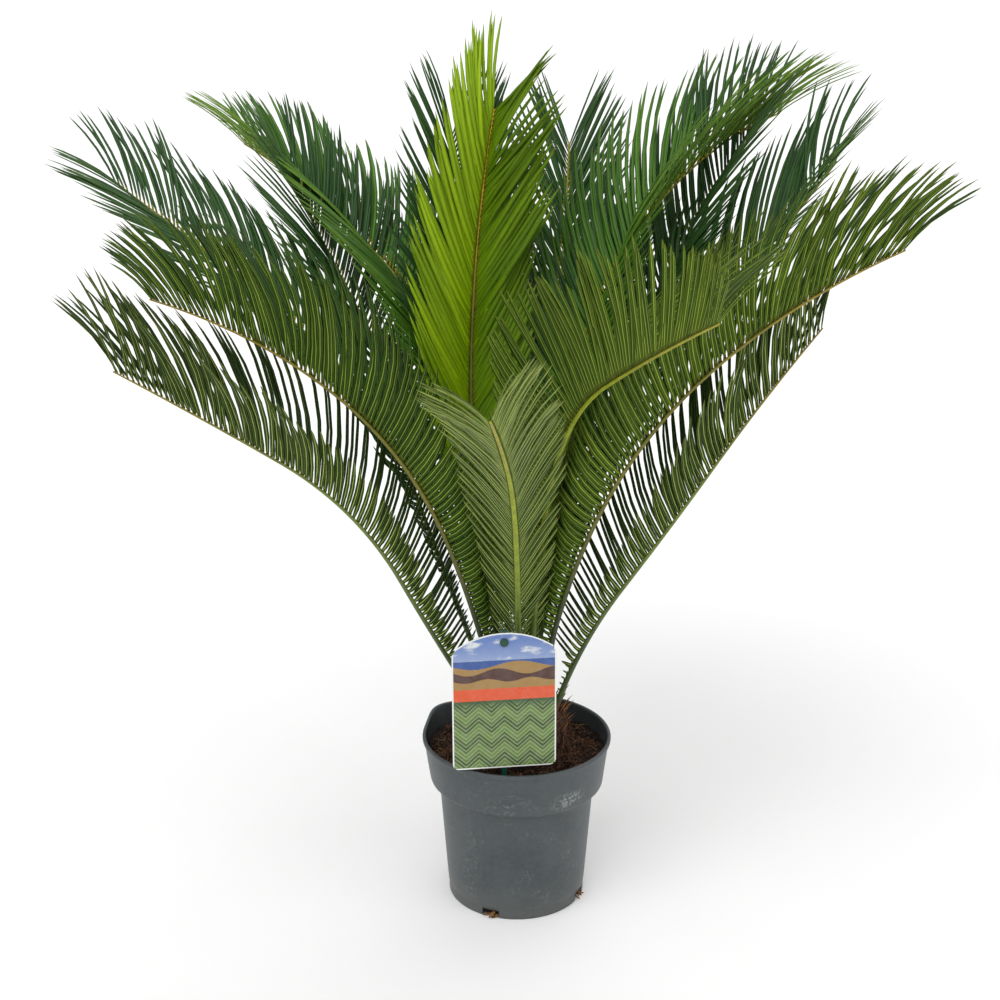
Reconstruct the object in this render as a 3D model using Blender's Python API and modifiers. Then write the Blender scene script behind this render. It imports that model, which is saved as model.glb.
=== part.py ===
"""Sago palm in its nursery pot: pot, soil, trunk, label on its stake and seventeen fronds.

Metres, +Z up. The origin is the middle of the pot's flat underside and the photograph looks along +Y.
A frond is one thin solid: a four-sided rib that is extruded station by station along its arch, with
its leaflets extruded out of the rib's two upper faces, so its outline is cut to the rib between them.
"""

import math
import random
from dataclasses import dataclass

import bmesh
import bpy
from mathutils import Matrix, Vector
from mathutils.bvhtree import BVHTree

OBJECT_NAME = "sago_palm"
GAP = 0.0003
ROUND_STEPS = 36
MERGE = 0.0001
SEED = 7

# Pot: a tapered bucket with a deep collar, sizes from a 19 cm nursery pot
POT_HEIGHT = 0.175
POT_WALL = 0.0020
RIM_RADIUS = 0.0960
RIM_LIP = 0.0012
RIM_LIP_HEIGHT = 0.0040
COLLAR_RADIUS = 0.0885
COLLAR_BOTTOM = 0.1285
COLLAR_CHAMFER = 0.0035
BODY_TOP_RADIUS = 0.0790
BODY_TOP = 0.1225
FOOT_RADIUS = 0.0700
FOOT_HEIGHT = 0.0120
FOOT_STEP = 0.0008
NOTCH_WIDTH = 0.018
NOTCH_HEIGHT = 0.0085
NOTCH_DEPTH = 0.0120
NOTCH_FIRST = 248.0
NOTCHES = 4

# Soil: a plug that fills the pot to below its rim
SOIL_TOP = 0.1570
SOIL_CLEARANCE = 0.0006

# Trunk: a short barrel, cut flat at the soil, with two ledges for the petioles at its top
TRUNK_CENTRE = Vector((0.002, 0.0, 0.0))
TRUNK_FLARE_RADIUS = 0.0525
TRUNK_RADIUS = 0.0500
TRUNK_NECK_RADIUS = 0.0455
TRUNK_STEPS = 28
OUTER_LEDGE = 0.2040
MIDDLE_LEDGE = 0.2140
INNER_LEDGE = 0.2240
OUTER_RING = 0.0370
MIDDLE_RING = 0.0255
INNER_RING = 0.0130
LEDGE_HALF_WIDTH = 0.0050
LEDGE_SLOPE = 0.0010
SHOULDER_DROP = 0.0080
BELLY_RADIUS = 0.0510
BELLY_ABOVE_SOIL = 0.0260
WAIST_ABOVE_SOIL = 0.0120

# Label: an arched card that hangs on the peg of a flat stake
CARD_WIDTH = 0.1010
CARD_HEIGHT = 0.1395
CARD_ARCH = 0.0170
CARD_CORNER = 0.0060
CARD_THICKNESS = 0.0008
CARD_PLACE = Vector((-0.0125, -0.0800, 0.1775))
CARD_LEAN = 2.0
CARD_YAW = 7.5
CARD_ARCH_POINTS = 14
CARD_CORNER_POINTS = 5
CARD_SHOULDER_POINTS = 4
CARD_SHOULDER_TURN = 60.0
HOLE_POINTS = 12
HOLE_RADIUS = 0.0030
HOLE_BELOW_TOP = 0.0095
STAKE_WIDTH = 0.0050
STAKE_THICKNESS = 0.0016
STAKE_HEAD_RADIUS = 0.0060
STAKE_HEAD_POINTS = 13
STAKE_HEAD_ABOVE_HOLE = 0.0080
PEG_RADIUS = 0.0024
PEG_STEPS = 12
BUTTON_RADIUS = 0.0042
BUTTON_LENGTH = 0.0014

# Frond: petiole, rib and leaflets
PETIOLE_SHARE = 0.12
PETIOLE_SECTIONS = 3
LEAFLET_PAIRS = 18
LEAFLET_BASE_SHARE = 0.42
LEAFLET_PITCH = (1.0 - PETIOLE_SHARE) / LEAFLET_PAIRS
HALF_BASE = LEAFLET_PITCH * LEAFLET_BASE_SHARE / 2
RIB_ROOT_RADIUS = 0.0034
RIB_TIP_RADIUS = 0.0011
RIB_DEPTH_SHARE = 0.85
SPINE_STEPS = 60
LEAFLET_ANGLE_BASE = 80.0
LEAFLET_ANGLE_TIP = 22.0
LEAFLET_ANGLE_POWER = 0.8
LEAFLET_RAISE = 46.0
LEAFLET_START = 0.6
LEAFLET_THICKNESS_SHARE = 0.0105
LEAFLET_WIDEST_AT = 0.42
LEAFLET_TIP_WIDTH = 0.0016
LEAFLET_DROOP = 0.06
LEAFLET_FORWARD = 0.05
LENGTH_AT_BASE = 0.16
LENGTH_AT_TIP = 0.58
LENGTH_PEAK_AT = 0.55
LEAFLET_JITTER = 0.04
ANGLE_JITTER = 2.0
TEST_MARGIN = 0.0006
OWN_TEST_START = 0.35

# Ways to place a leaflet that would touch a neighbour: a change of raise in degrees, a share of its length
RETRIES = [
    (0, 1.0), (7, 1.0), (-7, 1.0), (14, 1.0), (-14, 1.0), (20, 1.0), (-20, 1.0),
    (0, 0.8), (10, 0.8), (-10, 0.8), (0, 0.6), (12, 0.6), (-12, 0.6), (0, 0.42), (0, 0.28),
]

RINGS = {
    "outer": (OUTER_RING, OUTER_LEDGE),
    "middle": (MIDDLE_RING, MIDDLE_LEDGE),
    "inner": (INNER_RING, INNER_LEDGE),
}


@dataclass(frozen=True)
class Frond:
    """One frond: where its petiole roots, and the way that its rib arches.

    Azimuths are degrees from +X towards +Y. The four leans are the rib's angles from upright at its root,
    at a third, at two thirds and at its tip, and swing is how far its azimuth turns by the tip.
    """

    name: str
    ring: str
    root: float
    azimuth: float
    length: float
    leans: tuple
    swing: float
    leaflet: float
    colour: str


FRONDS = [
    Frond("frond_heart", "inner", 200, 138, 0.585, (12, 22, 14, 14), -90, 0.150, "lime"),
    Frond("frond_front", "middle", 268, 269, 0.560, (6, 34, 58, 62), -5, 0.110, "sage"),
    Frond("frond_front_right", "middle", 292, 292, 0.630, (5, 14, 62, 66), 0, 0.135, "olive"),
    Frond("frond_left_front", "middle", 218, 215, 0.590, (13, 23, 48, 68), -2, 0.135, "green"),
    Frond("frond_right_front", "middle", 320, 323, 0.630, (9, 25, 46, 62), 0, 0.130, "olive"),
    Frond("frond_left_low", "outer", 202, 206, 0.545, (31, 28, 54, 56), 10, 0.118, "sage"),
    Frond("frond_right_low", "outer", 338, 335, 0.490, (18, 34, 32, 36), -3, 0.125, "sage"),
    Frond("frond_left_high", "middle", 176, 168, 0.660, (21, 20, 53, 58), -6, 0.135, "dark"),
    Frond("frond_right", "middle", 10, 8, 0.610, (6, 19, 41, 36), -3, 0.135, "dark"),
    Frond("frond_right_back", "inner", 28, 31, 0.615, (11, 19, 29, 42), -7, 0.140, "dark"),
    Frond("frond_back_right", "middle", 52, 50, 0.665, (6, 8, 30, 70), -37, 0.140, "green"),
    Frond("frond_back_left", "middle", 128, 122, 0.700, (12, 14, 56, 69), 22, 0.135, "green"),
    Frond("frond_left_back", "middle", 150, 143, 0.590, (9, 27, 41, 38), -10, 0.140, "dark"),
    Frond("frond_inner_right", "inner", 60, 75, 0.595, (18, 30, 36, 32), 10, 0.135, "dark"),
    Frond("frond_inner_left", "inner", 112, 112, 0.565, (16, 20, 18, 20), -3, 0.130, "dark"),
    Frond("frond_back_low_right", "outer", 76, 68, 0.600, (26, 40, 58, 70), 6, 0.135, "green"),
    Frond("frond_back_low_left", "outer", 110, 110, 0.600, (24, 38, 56, 68), -6, 0.135, "dark"),
]

# Colours and surface values: base colour, roughness
LOOKS = {
    "pot_plastic": ((0.060, 0.078, 0.090), 0.55),
    "potting_soil": ((0.030, 0.015, 0.009), 0.95),
    "trunk_scales": ((0.120, 0.052, 0.024), 0.90),
    "card_print": ((0.420, 0.460, 0.300), 0.35),
    "stake_plastic": ((0.020, 0.140, 0.050), 0.40),
    "lime": ((0.150, 0.270, 0.012), 0.45),
    "sage": ((0.140, 0.210, 0.080), 0.50),
    "olive": ((0.100, 0.170, 0.035), 0.45),
    "green": ((0.050, 0.120, 0.025), 0.45),
    "dark": ((0.016, 0.062, 0.026), 0.40),
}


def clear_scene() -> None:
    """Removes every object of the scene that the script starts in."""
    for obj in list(bpy.data.objects):
        bpy.data.objects.remove(obj, do_unlink=True)


def make_collection(name: str, in_render: bool) -> bpy.types.Collection:
    """Adds a collection to the scene.

    Args:
        name: its name.
        in_render: False for cutters and other helpers.

    Returns:
        The new collection.
    """
    collection = bpy.data.collections.new(name)
    collection.hide_render = not in_render
    bpy.context.scene.collection.children.link(collection)
    return collection


def material(look: str) -> bpy.types.Material:
    """Makes a Principled material once for each look and hands it out again after that."""
    found = bpy.data.materials.get(look)
    if found:
        return found
    made = bpy.data.materials.new(look)
    made.use_nodes = True
    shader = made.node_tree.nodes["Principled BSDF"]
    colour, roughness = LOOKS[look]
    shader.inputs["Base Color"].default_value = (*colour, 1.0)
    shader.inputs["Roughness"].default_value = roughness
    shader.inputs["Metallic"].default_value = 0.0
    return made


def add_object(name: str, data, collection: bpy.types.Collection, look: str | None) -> bpy.types.Object:
    """Links a new object to a collection and gives it its material.

    Args:
        name: the object's name, which is also its node's name.
        data: a mesh or a curve.
        collection: where it goes.
        look: the key of its look, or None for a helper.

    Returns:
        The new object.
    """
    obj = bpy.data.objects.new(name, data)
    collection.objects.link(obj)
    if look:
        data.materials.append(material(look))
    return obj


def hide_helper(obj: bpy.types.Object) -> None:
    """Leaves a cutter out of the render and draws it as a wire."""
    obj.hide_render = True
    obj.display_type = "WIRE"


def turned(name: str, profile: list, steps: int, collection, look: str) -> bpy.types.Object:
    """Turns a half profile about Z with a Screw modifier.

    Args:
        name: the object's name.
        profile: (radius, height) points, down the outer side from top to bottom.
        steps: sides of the round.
        collection: where it goes.
        look: the key of its look.

    Returns:
        The turned object.
    """
    mesh = bpy.data.meshes.new(name)
    bm = bmesh.new()
    points = [bm.verts.new((radius, 0.0, height)) for radius, height in profile]
    for above, below in zip(points, points[1:]):
        bm.edges.new((above, below))
    bm.to_mesh(mesh)
    bm.free()
    obj = add_object(name, mesh, collection, look)
    screw = obj.modifiers.new("turn", "SCREW")
    screw.steps = steps
    screw.render_steps = steps
    screw.use_merge_vertices = True
    screw.merge_threshold = MERGE
    screw.use_smooth_shade = True
    return obj


def body_radius(height: float) -> float:
    """Outer radius of the pot's body between its foot and its collar."""
    share = (height - FOOT_HEIGHT) / (BODY_TOP - FOOT_HEIGHT)
    return FOOT_RADIUS + FOOT_STEP + share * (BODY_TOP_RADIUS - FOOT_RADIUS - FOOT_STEP)


def collar_radius(height: float) -> float:
    """Outer radius of the collar at a height below the rim's lip."""
    share = (height - COLLAR_BOTTOM) / (POT_HEIGHT - COLLAR_BOTTOM)
    return COLLAR_RADIUS + share * (RIM_RADIUS - RIM_LIP - COLLAR_RADIUS)


def build_pot(parts, helpers) -> bpy.types.Object:
    """The pot: a turned skin with an even wall, notched for drainage round its base edge.

    Args:
        parts: the object's collection.
        helpers: the collection of the cutters.

    Returns:
        The pot.
    """
    lip_bottom = POT_HEIGHT - RIM_LIP_HEIGHT
    skin = [
        (RIM_RADIUS, POT_HEIGHT),
        (RIM_RADIUS, lip_bottom),
        (collar_radius(lip_bottom), lip_bottom - RIM_LIP),
        (COLLAR_RADIUS, COLLAR_BOTTOM),
        (COLLAR_RADIUS - COLLAR_CHAMFER, COLLAR_BOTTOM - COLLAR_CHAMFER),
        (BODY_TOP_RADIUS, BODY_TOP),
        (body_radius(FOOT_HEIGHT), FOOT_HEIGHT),
        (FOOT_RADIUS, FOOT_HEIGHT - FOOT_STEP),
        (FOOT_RADIUS, 0.0),
        (0.0, 0.0),
    ]
    pot = turned("pot", skin, ROUND_STEPS, parts, "pot_plastic")
    wall = pot.modifiers.new("wall", "SOLIDIFY")
    wall.thickness = POT_WALL
    wall.offset = -1.0
    wall.use_even_offset = True
    for index in range(NOTCHES):
        angle = math.radians(NOTCH_FIRST + 360.0 / NOTCHES * index)
        mesh = bpy.data.meshes.new(f"notch_cutter_{index + 1}")
        bm = bmesh.new()
        bmesh.ops.create_cube(bm, size=1.0)
        bmesh.ops.scale(bm, vec=(NOTCH_DEPTH, NOTCH_WIDTH, 2 * NOTCH_HEIGHT), verts=bm.verts)
        bm.to_mesh(mesh)
        bm.free()
        cutter = add_object(mesh.name, mesh, helpers, None)
        cutter.location = (FOOT_RADIUS * math.cos(angle), FOOT_RADIUS * math.sin(angle), 0.0)
        cutter.rotation_euler = (0.0, 0.0, angle)
        hide_helper(cutter)
        cut = pot.modifiers.new(f"notch_{index + 1}", "BOOLEAN")
        cut.operation = "DIFFERENCE"
        cut.object = cutter
    return pot


def build_soil(parts) -> bpy.types.Object:
    """The soil: a plug that follows the pot's inside, clear of its wall by a hair."""
    inset = POT_WALL + SOIL_CLEARANCE
    collar_inside = COLLAR_BOTTOM - COLLAR_CHAMFER + inset
    profile = [
        (0.0, SOIL_TOP),
        (collar_radius(SOIL_TOP) - inset, SOIL_TOP),
        (COLLAR_RADIUS - inset, COLLAR_BOTTOM + inset),
        (BODY_TOP_RADIUS - inset, collar_inside),
        (body_radius(FOOT_HEIGHT) - inset - FOOT_STEP, FOOT_HEIGHT),
        (FOOT_RADIUS - inset, POT_WALL + GAP),
        (0.0, POT_WALL + GAP),
    ]
    return turned("soil", profile, ROUND_STEPS, parts, "potting_soil")


def build_trunk(parts) -> bpy.types.Object:
    """The trunk: a barrel with a flared foot and, on top, a ledge for each ring of petioles."""
    outer_edge = OUTER_RING - LEDGE_HALF_WIDTH
    middle_edge = MIDDLE_RING - LEDGE_HALF_WIDTH
    profile = [
        (0.0, INNER_LEDGE),
        (middle_edge - LEDGE_SLOPE, INNER_LEDGE),
        (middle_edge, MIDDLE_LEDGE),
        (outer_edge - LEDGE_SLOPE, MIDDLE_LEDGE),
        (outer_edge, OUTER_LEDGE),
        (TRUNK_NECK_RADIUS, OUTER_LEDGE),
        (TRUNK_RADIUS, OUTER_LEDGE - SHOULDER_DROP),
        (BELLY_RADIUS, SOIL_TOP + BELLY_ABOVE_SOIL),
        (TRUNK_RADIUS, SOIL_TOP + WAIST_ABOVE_SOIL),
        (TRUNK_FLARE_RADIUS, SOIL_TOP + GAP),
        (0.0, SOIL_TOP + GAP),
    ]
    trunk = turned("trunk", profile, TRUNK_STEPS, parts, "trunk_scales")
    trunk.location = TRUNK_CENTRE
    return trunk


def card_matrix() -> Matrix:
    """Where the card hangs: X to its right, Z up it, and Y into the picture."""
    yaw = Matrix.Rotation(math.radians(CARD_YAW), 4, "Z")
    lean = Matrix.Rotation(math.radians(-CARD_LEAN), 4, "X")
    return Matrix.Translation(CARD_PLACE) @ yaw @ lean


def arc(centre: tuple, radius: float, start: float, end: float, points: int) -> list:
    """Points on a circular arc, in the card's plane.

    Args:
        centre: its centre.
        radius: its radius.
        start: first angle in degrees.
        end: last angle in degrees.
        points: how many points.

    Returns:
        The list of (x, z) points.
    """
    found = []
    for index in range(points):
        angle = math.radians(start + (end - start) * index / (points - 1))
        found.append((centre[0] + radius * math.cos(angle), centre[1] + radius * math.sin(angle)))
    return found


def flat_outline(name: str, outlines: list, thickness: float, parts, look: str) -> bpy.types.Object:
    """A flat plate from closed outlines, the later ones being holes.

    Args:
        name: the object's name.
        outlines: lists of (x, z) points.
        thickness: the plate's whole thickness.
        parts: the collection it goes in.
        look: the key of its look.

    Returns:
        The plate, whose outline lies in its own XY plane.
    """
    curve = bpy.data.curves.new(name, "CURVE")
    curve.dimensions = "2D"
    curve.fill_mode = "BOTH"
    curve.extrude = thickness / 2
    for outline in outlines:
        spline = curve.splines.new("POLY")
        spline.points.add(len(outline) - 1)
        for point, (x, z) in zip(spline.points, outline):
            point.co = (x, z, 0.0, 1.0)
        spline.use_cyclic_u = True
    return add_object(name, curve, parts, look)


def hole_height() -> float:
    """Height of the card's hole above its lower edge."""
    return CARD_HEIGHT - HOLE_BELOW_TOP


def build_card(parts) -> bpy.types.Object:
    """The label's card: square below with round corners, arched above, with a hole for the peg."""
    half = CARD_WIDTH / 2
    corner = CARD_CORNER
    arch_radius = (half * half + CARD_ARCH * CARD_ARCH) / (2 * CARD_ARCH)
    spread = math.degrees(math.asin((half - corner / 2) / arch_radius))
    shoulder = CARD_HEIGHT - CARD_ARCH
    left = -half + corner
    right = half - corner
    turn = CARD_SHOULDER_TURN
    arch_centre = (0.0, CARD_HEIGHT - arch_radius)
    outline = arc((left, corner), corner, 180, 270, CARD_CORNER_POINTS)
    outline += arc((right, corner), corner, 270, 360, CARD_CORNER_POINTS)
    outline += arc((right, shoulder - corner), corner, 0, turn, CARD_SHOULDER_POINTS)
    outline += arc(arch_centre, arch_radius, 90 - spread, 90 + spread, CARD_ARCH_POINTS)
    outline += arc((left, shoulder - corner), corner, 180 - turn, 180, CARD_SHOULDER_POINTS)
    hole = arc((0.0, hole_height()), HOLE_RADIUS, 0, 360 - 360 / HOLE_POINTS, HOLE_POINTS)
    card = flat_outline("tag_card", [outline, hole], CARD_THICKNESS, parts, "card_print")
    card.matrix_world = card_matrix() @ Matrix.Rotation(math.radians(90), 4, "X")
    return card


def as_mesh(obj: bpy.types.Object, collection) -> bpy.types.Object:
    """Turns a curve object into a welded mesh object of the same name and place.

    Args:
        obj: the curve object, which is removed.
        collection: where the mesh object goes.

    Returns:
        The mesh object.
    """
    graph = bpy.context.evaluated_depsgraph_get()
    mesh = bpy.data.meshes.new_from_object(obj.evaluated_get(graph))
    bm = bmesh.new()
    bm.from_mesh(mesh)
    bmesh.ops.remove_doubles(bm, verts=bm.verts, dist=MERGE / 10)
    bm.to_mesh(mesh)
    bm.free()
    name = obj.name
    place = obj.matrix_world.copy()
    bpy.data.objects.remove(obj, do_unlink=True)
    made = add_object(name, mesh, collection, None)
    made.name = name
    made.matrix_world = place
    return made


def cylinder(name: str, radius: float, length: float, place: Matrix, collection) -> bpy.types.Object:
    """A cylinder along its own Z, centred on its place.

    Args:
        name: its name.
        radius: its radius.
        length: its length.
        place: its matrix.
        collection: where it goes.

    Returns:
        The cylinder.
    """
    mesh = bpy.data.meshes.new(name)
    bm = bmesh.new()
    bmesh.ops.create_cone(
        bm, cap_ends=True, segments=PEG_STEPS, radius1=radius, radius2=radius, depth=length
    )
    bm.to_mesh(mesh)
    bm.free()
    obj = add_object(name, mesh, collection, None)
    obj.matrix_world = place
    return obj


def build_stake(parts, helpers) -> bpy.types.Object:
    """The stake: a flat bar behind the card with a round head, a peg through the hole and a button.

    Args:
        parts: the object's collection.
        helpers: the collection of the pieces that are joined to it.

    Returns:
        The stake.
    """
    upright = Matrix.Rotation(math.radians(90), 4, "X")
    behind = CARD_THICKNESS / 2 + GAP + STAKE_THICKNESS / 2
    half = STAKE_WIDTH / 2
    foot = (SOIL_TOP + GAP - CARD_PLACE.z) / math.cos(math.radians(CARD_LEAN))
    head_at = hole_height() + STAKE_HEAD_ABOVE_HOLE
    turn_in = math.degrees(math.asin(half / STAKE_HEAD_RADIUS))
    outline = [(-half, foot + GAP), (half, foot + GAP)]
    outline += arc((0.0, head_at), STAKE_HEAD_RADIUS, -90 + turn_in, 270 - turn_in, STAKE_HEAD_POINTS)
    bar = flat_outline("tag_stake", [outline], STAKE_THICKNESS, parts, "stake_plastic")
    bar.matrix_world = card_matrix() @ Matrix.Translation((0.0, behind, 0.0)) @ upright
    bpy.context.view_layer.update()
    bar = as_mesh(bar, parts)
    front = -CARD_THICKNESS / 2 - GAP - BUTTON_LENGTH
    peg_length = behind - front
    peg_place = Matrix.Translation((0.0, (behind + front) / 2, hole_height()))
    peg = cylinder("peg", PEG_RADIUS, peg_length, card_matrix() @ peg_place @ upright, helpers)
    button_place = Matrix.Translation((0.0, front + BUTTON_LENGTH / 2, hole_height()))
    button = cylinder("button", BUTTON_RADIUS, BUTTON_LENGTH, card_matrix() @ button_place @ upright, helpers)
    for piece in (peg, button):
        hide_helper(piece)
        join = bar.modifiers.new(f"join_{piece.name}", "BOOLEAN")
        join.operation = "UNION"
        join.object = piece
    bar.data.materials.append(material("stake_plastic"))
    return bar


def between(values: tuple, share: float) -> float:
    """Reads evenly spaced values at a share of their whole range, straight from one to the next."""
    place = min(max(share, 0.0), 1.0) * (len(values) - 1)
    index = min(int(place), len(values) - 2)
    return values[index] + (values[index + 1] - values[index]) * (place - index)


def heading(frond: Frond, share: float) -> tuple:
    """Azimuth and lean of a frond's rib, in radians, at a share of its length."""
    azimuth = math.radians(frond.azimuth + frond.swing * share)
    return azimuth, math.radians(between(frond.leans, share))


def spine_points(frond: Frond) -> list:
    """Points along a frond's rib, even steps apart, from its ledge on the trunk to its tip."""
    radius, ledge = RINGS[frond.ring]
    root = math.radians(frond.root)
    place = TRUNK_CENTRE + Vector((radius * math.cos(root), radius * math.sin(root), ledge + GAP))
    points = [place.copy()]
    step = frond.length / SPINE_STEPS
    for index in range(SPINE_STEPS):
        azimuth, lean = heading(frond, (index + 0.5) / SPINE_STEPS)
        way = (math.sin(lean) * math.cos(azimuth), math.sin(lean) * math.sin(azimuth), math.cos(lean))
        place = place + Vector(way) * step
        points.append(place.copy())
    return points


def rib_frame(frond: Frond, points: list, share: float) -> tuple:
    """The rib's place and axes at a share of its length.

    Args:
        frond: the frond.
        points: its spine points.
        share: the share of its length.

    Returns:
        Its place, its way along, its upper side (towards the plant's middle) and its left side.
    """
    spot = min(max(share, 0.0), 1.0) * SPINE_STEPS
    index = min(int(spot), SPINE_STEPS - 1)
    place = points[index].lerp(points[index + 1], spot - index)
    azimuth, lean = heading(frond, share)
    outward = Vector((math.cos(azimuth), math.sin(azimuth), 0.0))
    upright = Vector((0.0, 0.0, 1.0))
    along = outward * math.sin(lean) + upright * math.cos(lean)
    upper = upright * math.sin(lean) - outward * math.cos(lean)
    return place, along, upper, upper.cross(along)


def rib_radius(share: float) -> float:
    """Half width of the rib at a share of its length."""
    return RIB_ROOT_RADIUS + (RIB_TIP_RADIUS - RIB_ROOT_RADIUS) * share


def rib_ring(frond: Frond, points: list, share: float) -> list:
    """The four corners of the rib's section: left, upper, right and lower.

    The first section lies level on the trunk's ledge, and each other one is square to the rib.
    """
    place, along, upper, left = rib_frame(frond, points, share)
    half = rib_radius(share)
    if share == 0.0:
        azimuth = math.radians(frond.azimuth)
        upper = Vector((-math.cos(azimuth), -math.sin(azimuth), 0.0))
        left = Vector((math.sin(azimuth), -math.cos(azimuth), 0.0))
    deep = half * RIB_DEPTH_SHARE
    return [place + left * half, place + upper * deep, place - left * half, place - upper * deep]


def leaflet_length(share: float) -> float:
    """Length of a leaflet as a share of the longest one: short at the blade's foot, longest past its middle."""
    if share < LENGTH_PEAK_AT:
        rise = math.sin(math.pi / 2 * share / LENGTH_PEAK_AT)
        return LENGTH_AT_BASE + (1.0 - LENGTH_AT_BASE) * rise
    fall = (share - LENGTH_PEAK_AT) / (1.0 - LENGTH_PEAK_AT)
    return 1.0 - (1.0 - LENGTH_AT_TIP) * fall ** 3


def leaflet_angle(share: float) -> float:
    """Angle in degrees between a leaflet and the rib at a share of the blade."""
    return LEAFLET_ANGLE_BASE + (LEAFLET_ANGLE_TIP - LEAFLET_ANGLE_BASE) * share ** LEAFLET_ANGLE_POWER


def leaflet_sections(frond, points, share, side, length, angle, lift) -> list:
    """A leaflet's sections: where it leaves the rib, at its widest place and at its tip.

    Args:
        frond: the frond.
        points: its spine points.
        share: the leaflet's place as a share of the rib's length.
        side: 1 for the left row, -1 for the right row.
        length: the leaflet's length.
        angle: its angle to the rib in degrees.
        lift: how far its row is raised towards the upper side, in degrees.

    Returns:
        Three lists of four points each, in the order lower near, upper near, upper far, lower far.
    """
    place, along, upper, left = rib_frame(frond, points, share)
    opened = math.radians(angle)
    lifted = math.radians(lift)
    out = left * (side * math.cos(lifted)) + upper * math.sin(lifted)
    face = upper * math.cos(lifted) - left * (side * math.sin(lifted))
    way = along * math.cos(opened) + out * math.sin(opened)
    across = along * math.sin(opened) - out * math.cos(opened)
    start = place + out * (rib_radius(share) * LEAFLET_START)
    half_width = frond.length * HALF_BASE * math.sin(opened)
    half_thick = frond.leaflet * LEAFLET_THICKNESS_SHARE / 2
    near_ring = rib_ring(frond, points, share - HALF_BASE)
    far_ring = rib_ring(frond, points, share + HALF_BASE)
    root = [near_ring[1 - side], near_ring[1], far_ring[1], far_ring[1 - side]]
    middle = start + way * (length * LEAFLET_WIDEST_AT) + face * (length * LEAFLET_DROOP / 2)
    tip = start + way * length - face * (length * LEAFLET_DROOP)
    tip = tip + across * (length * LEAFLET_FORWARD)
    wide = [
        middle - across * half_width - face * half_thick,
        middle - across * half_width + face * half_thick,
        middle + across * half_width + face * half_thick,
        middle + across * half_width - face * half_thick,
    ]
    near_tip = tip - across * (LEAFLET_TIP_WIDTH / 2)
    far_tip = tip + across * (LEAFLET_TIP_WIDTH / 2)
    return [root, wide, [near_tip, near_tip, far_tip, far_tip]]


def leaflet_shares() -> list:
    """Shares of the rib's length at which its pairs of leaflets stand."""
    return [PETIOLE_SHARE + (index + 0.5) * LEAFLET_PITCH for index in range(LEAFLET_PAIRS)]


def rib_stations() -> list:
    """Shares of the rib's length at which its sections stand: two for each pair of leaflets."""
    shares = [PETIOLE_SHARE * index / PETIOLE_SECTIONS for index in range(PETIOLE_SECTIONS)]
    for middle in leaflet_shares():
        shares += [middle - HALF_BASE, middle + HALF_BASE]
    return shares + [1.0]


def both_ways(a: int, b: int, c: int, d: int) -> list:
    """The four triangles of a four-cornered face, split along either of its diagonals."""
    return [(a, b, c), (a, c, d), (a, b, d), (b, c, d)]


def test_tree(sections: list) -> BVHTree:
    """A closed tree just outside a row of four-point sections, for telling whether a piece would touch another."""
    corners = []
    for section in sections:
        centre = sum(section, Vector()) / 4
        corners += [corner + (corner - centre).normalized() * TEST_MARGIN for corner in section]
    faces = both_ways(0, 1, 2, 3)
    for index in range(len(sections) - 1):
        start = 4 * index
        for edge in range(4):
            after = (edge + 1) % 4
            faces += both_ways(start + edge, start + after, start + 4 + after, start + 4 + edge)
    last = 4 * (len(sections) - 1)
    faces += both_ways(last, last + 1, last + 2, last + 3)
    return BVHTree.FromPolygons(corners, faces)


def mesh_tree(mesh: bpy.types.Mesh, place: Matrix) -> BVHTree:
    """The tree of a finished mesh at its place in the world."""
    mesh.calc_loop_triangles()
    corners = [place @ vertex.co for vertex in mesh.vertices]
    faces = [tuple(triangle.vertices) for triangle in mesh.loop_triangles]
    return BVHTree.FromPolygons(corners, faces)


def obstacle(obj: bpy.types.Object) -> BVHTree:
    """The tree of a finished object, as its modifiers leave it, in world space."""
    graph = bpy.context.evaluated_depsgraph_get()
    evaluated = obj.evaluated_get(graph)
    tree = mesh_tree(evaluated.to_mesh(), evaluated.matrix_world)
    evaluated.to_mesh_clear()
    return tree


def extrude_to(bm: bmesh.types.BMesh, face: bmesh.types.BMFace, corners: list) -> tuple:
    """Extrudes one face and moves the new face's corners to the given points.

    Args:
        bm: the mesh.
        face: the face to extrude.
        corners: a point for each corner, in the face's own order.

    Returns:
        The new face, and the side faces from each corner to the next.
    """
    ring = list(face.verts)
    grown = bmesh.ops.extrude_discrete_faces(bm, faces=[face])["faces"][0]
    new_ring = list(grown.verts)
    for vertex, corner in zip(new_ring, corners):
        vertex.co = corner
    sides = []
    for index, vertex in enumerate(ring):
        after = (index + 1) % len(ring)
        edge = bm.edges.get((vertex, ring[after]))
        sides.append(next(f for f in edge.link_faces if new_ring[index] in f.verts))
    return grown, sides


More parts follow.
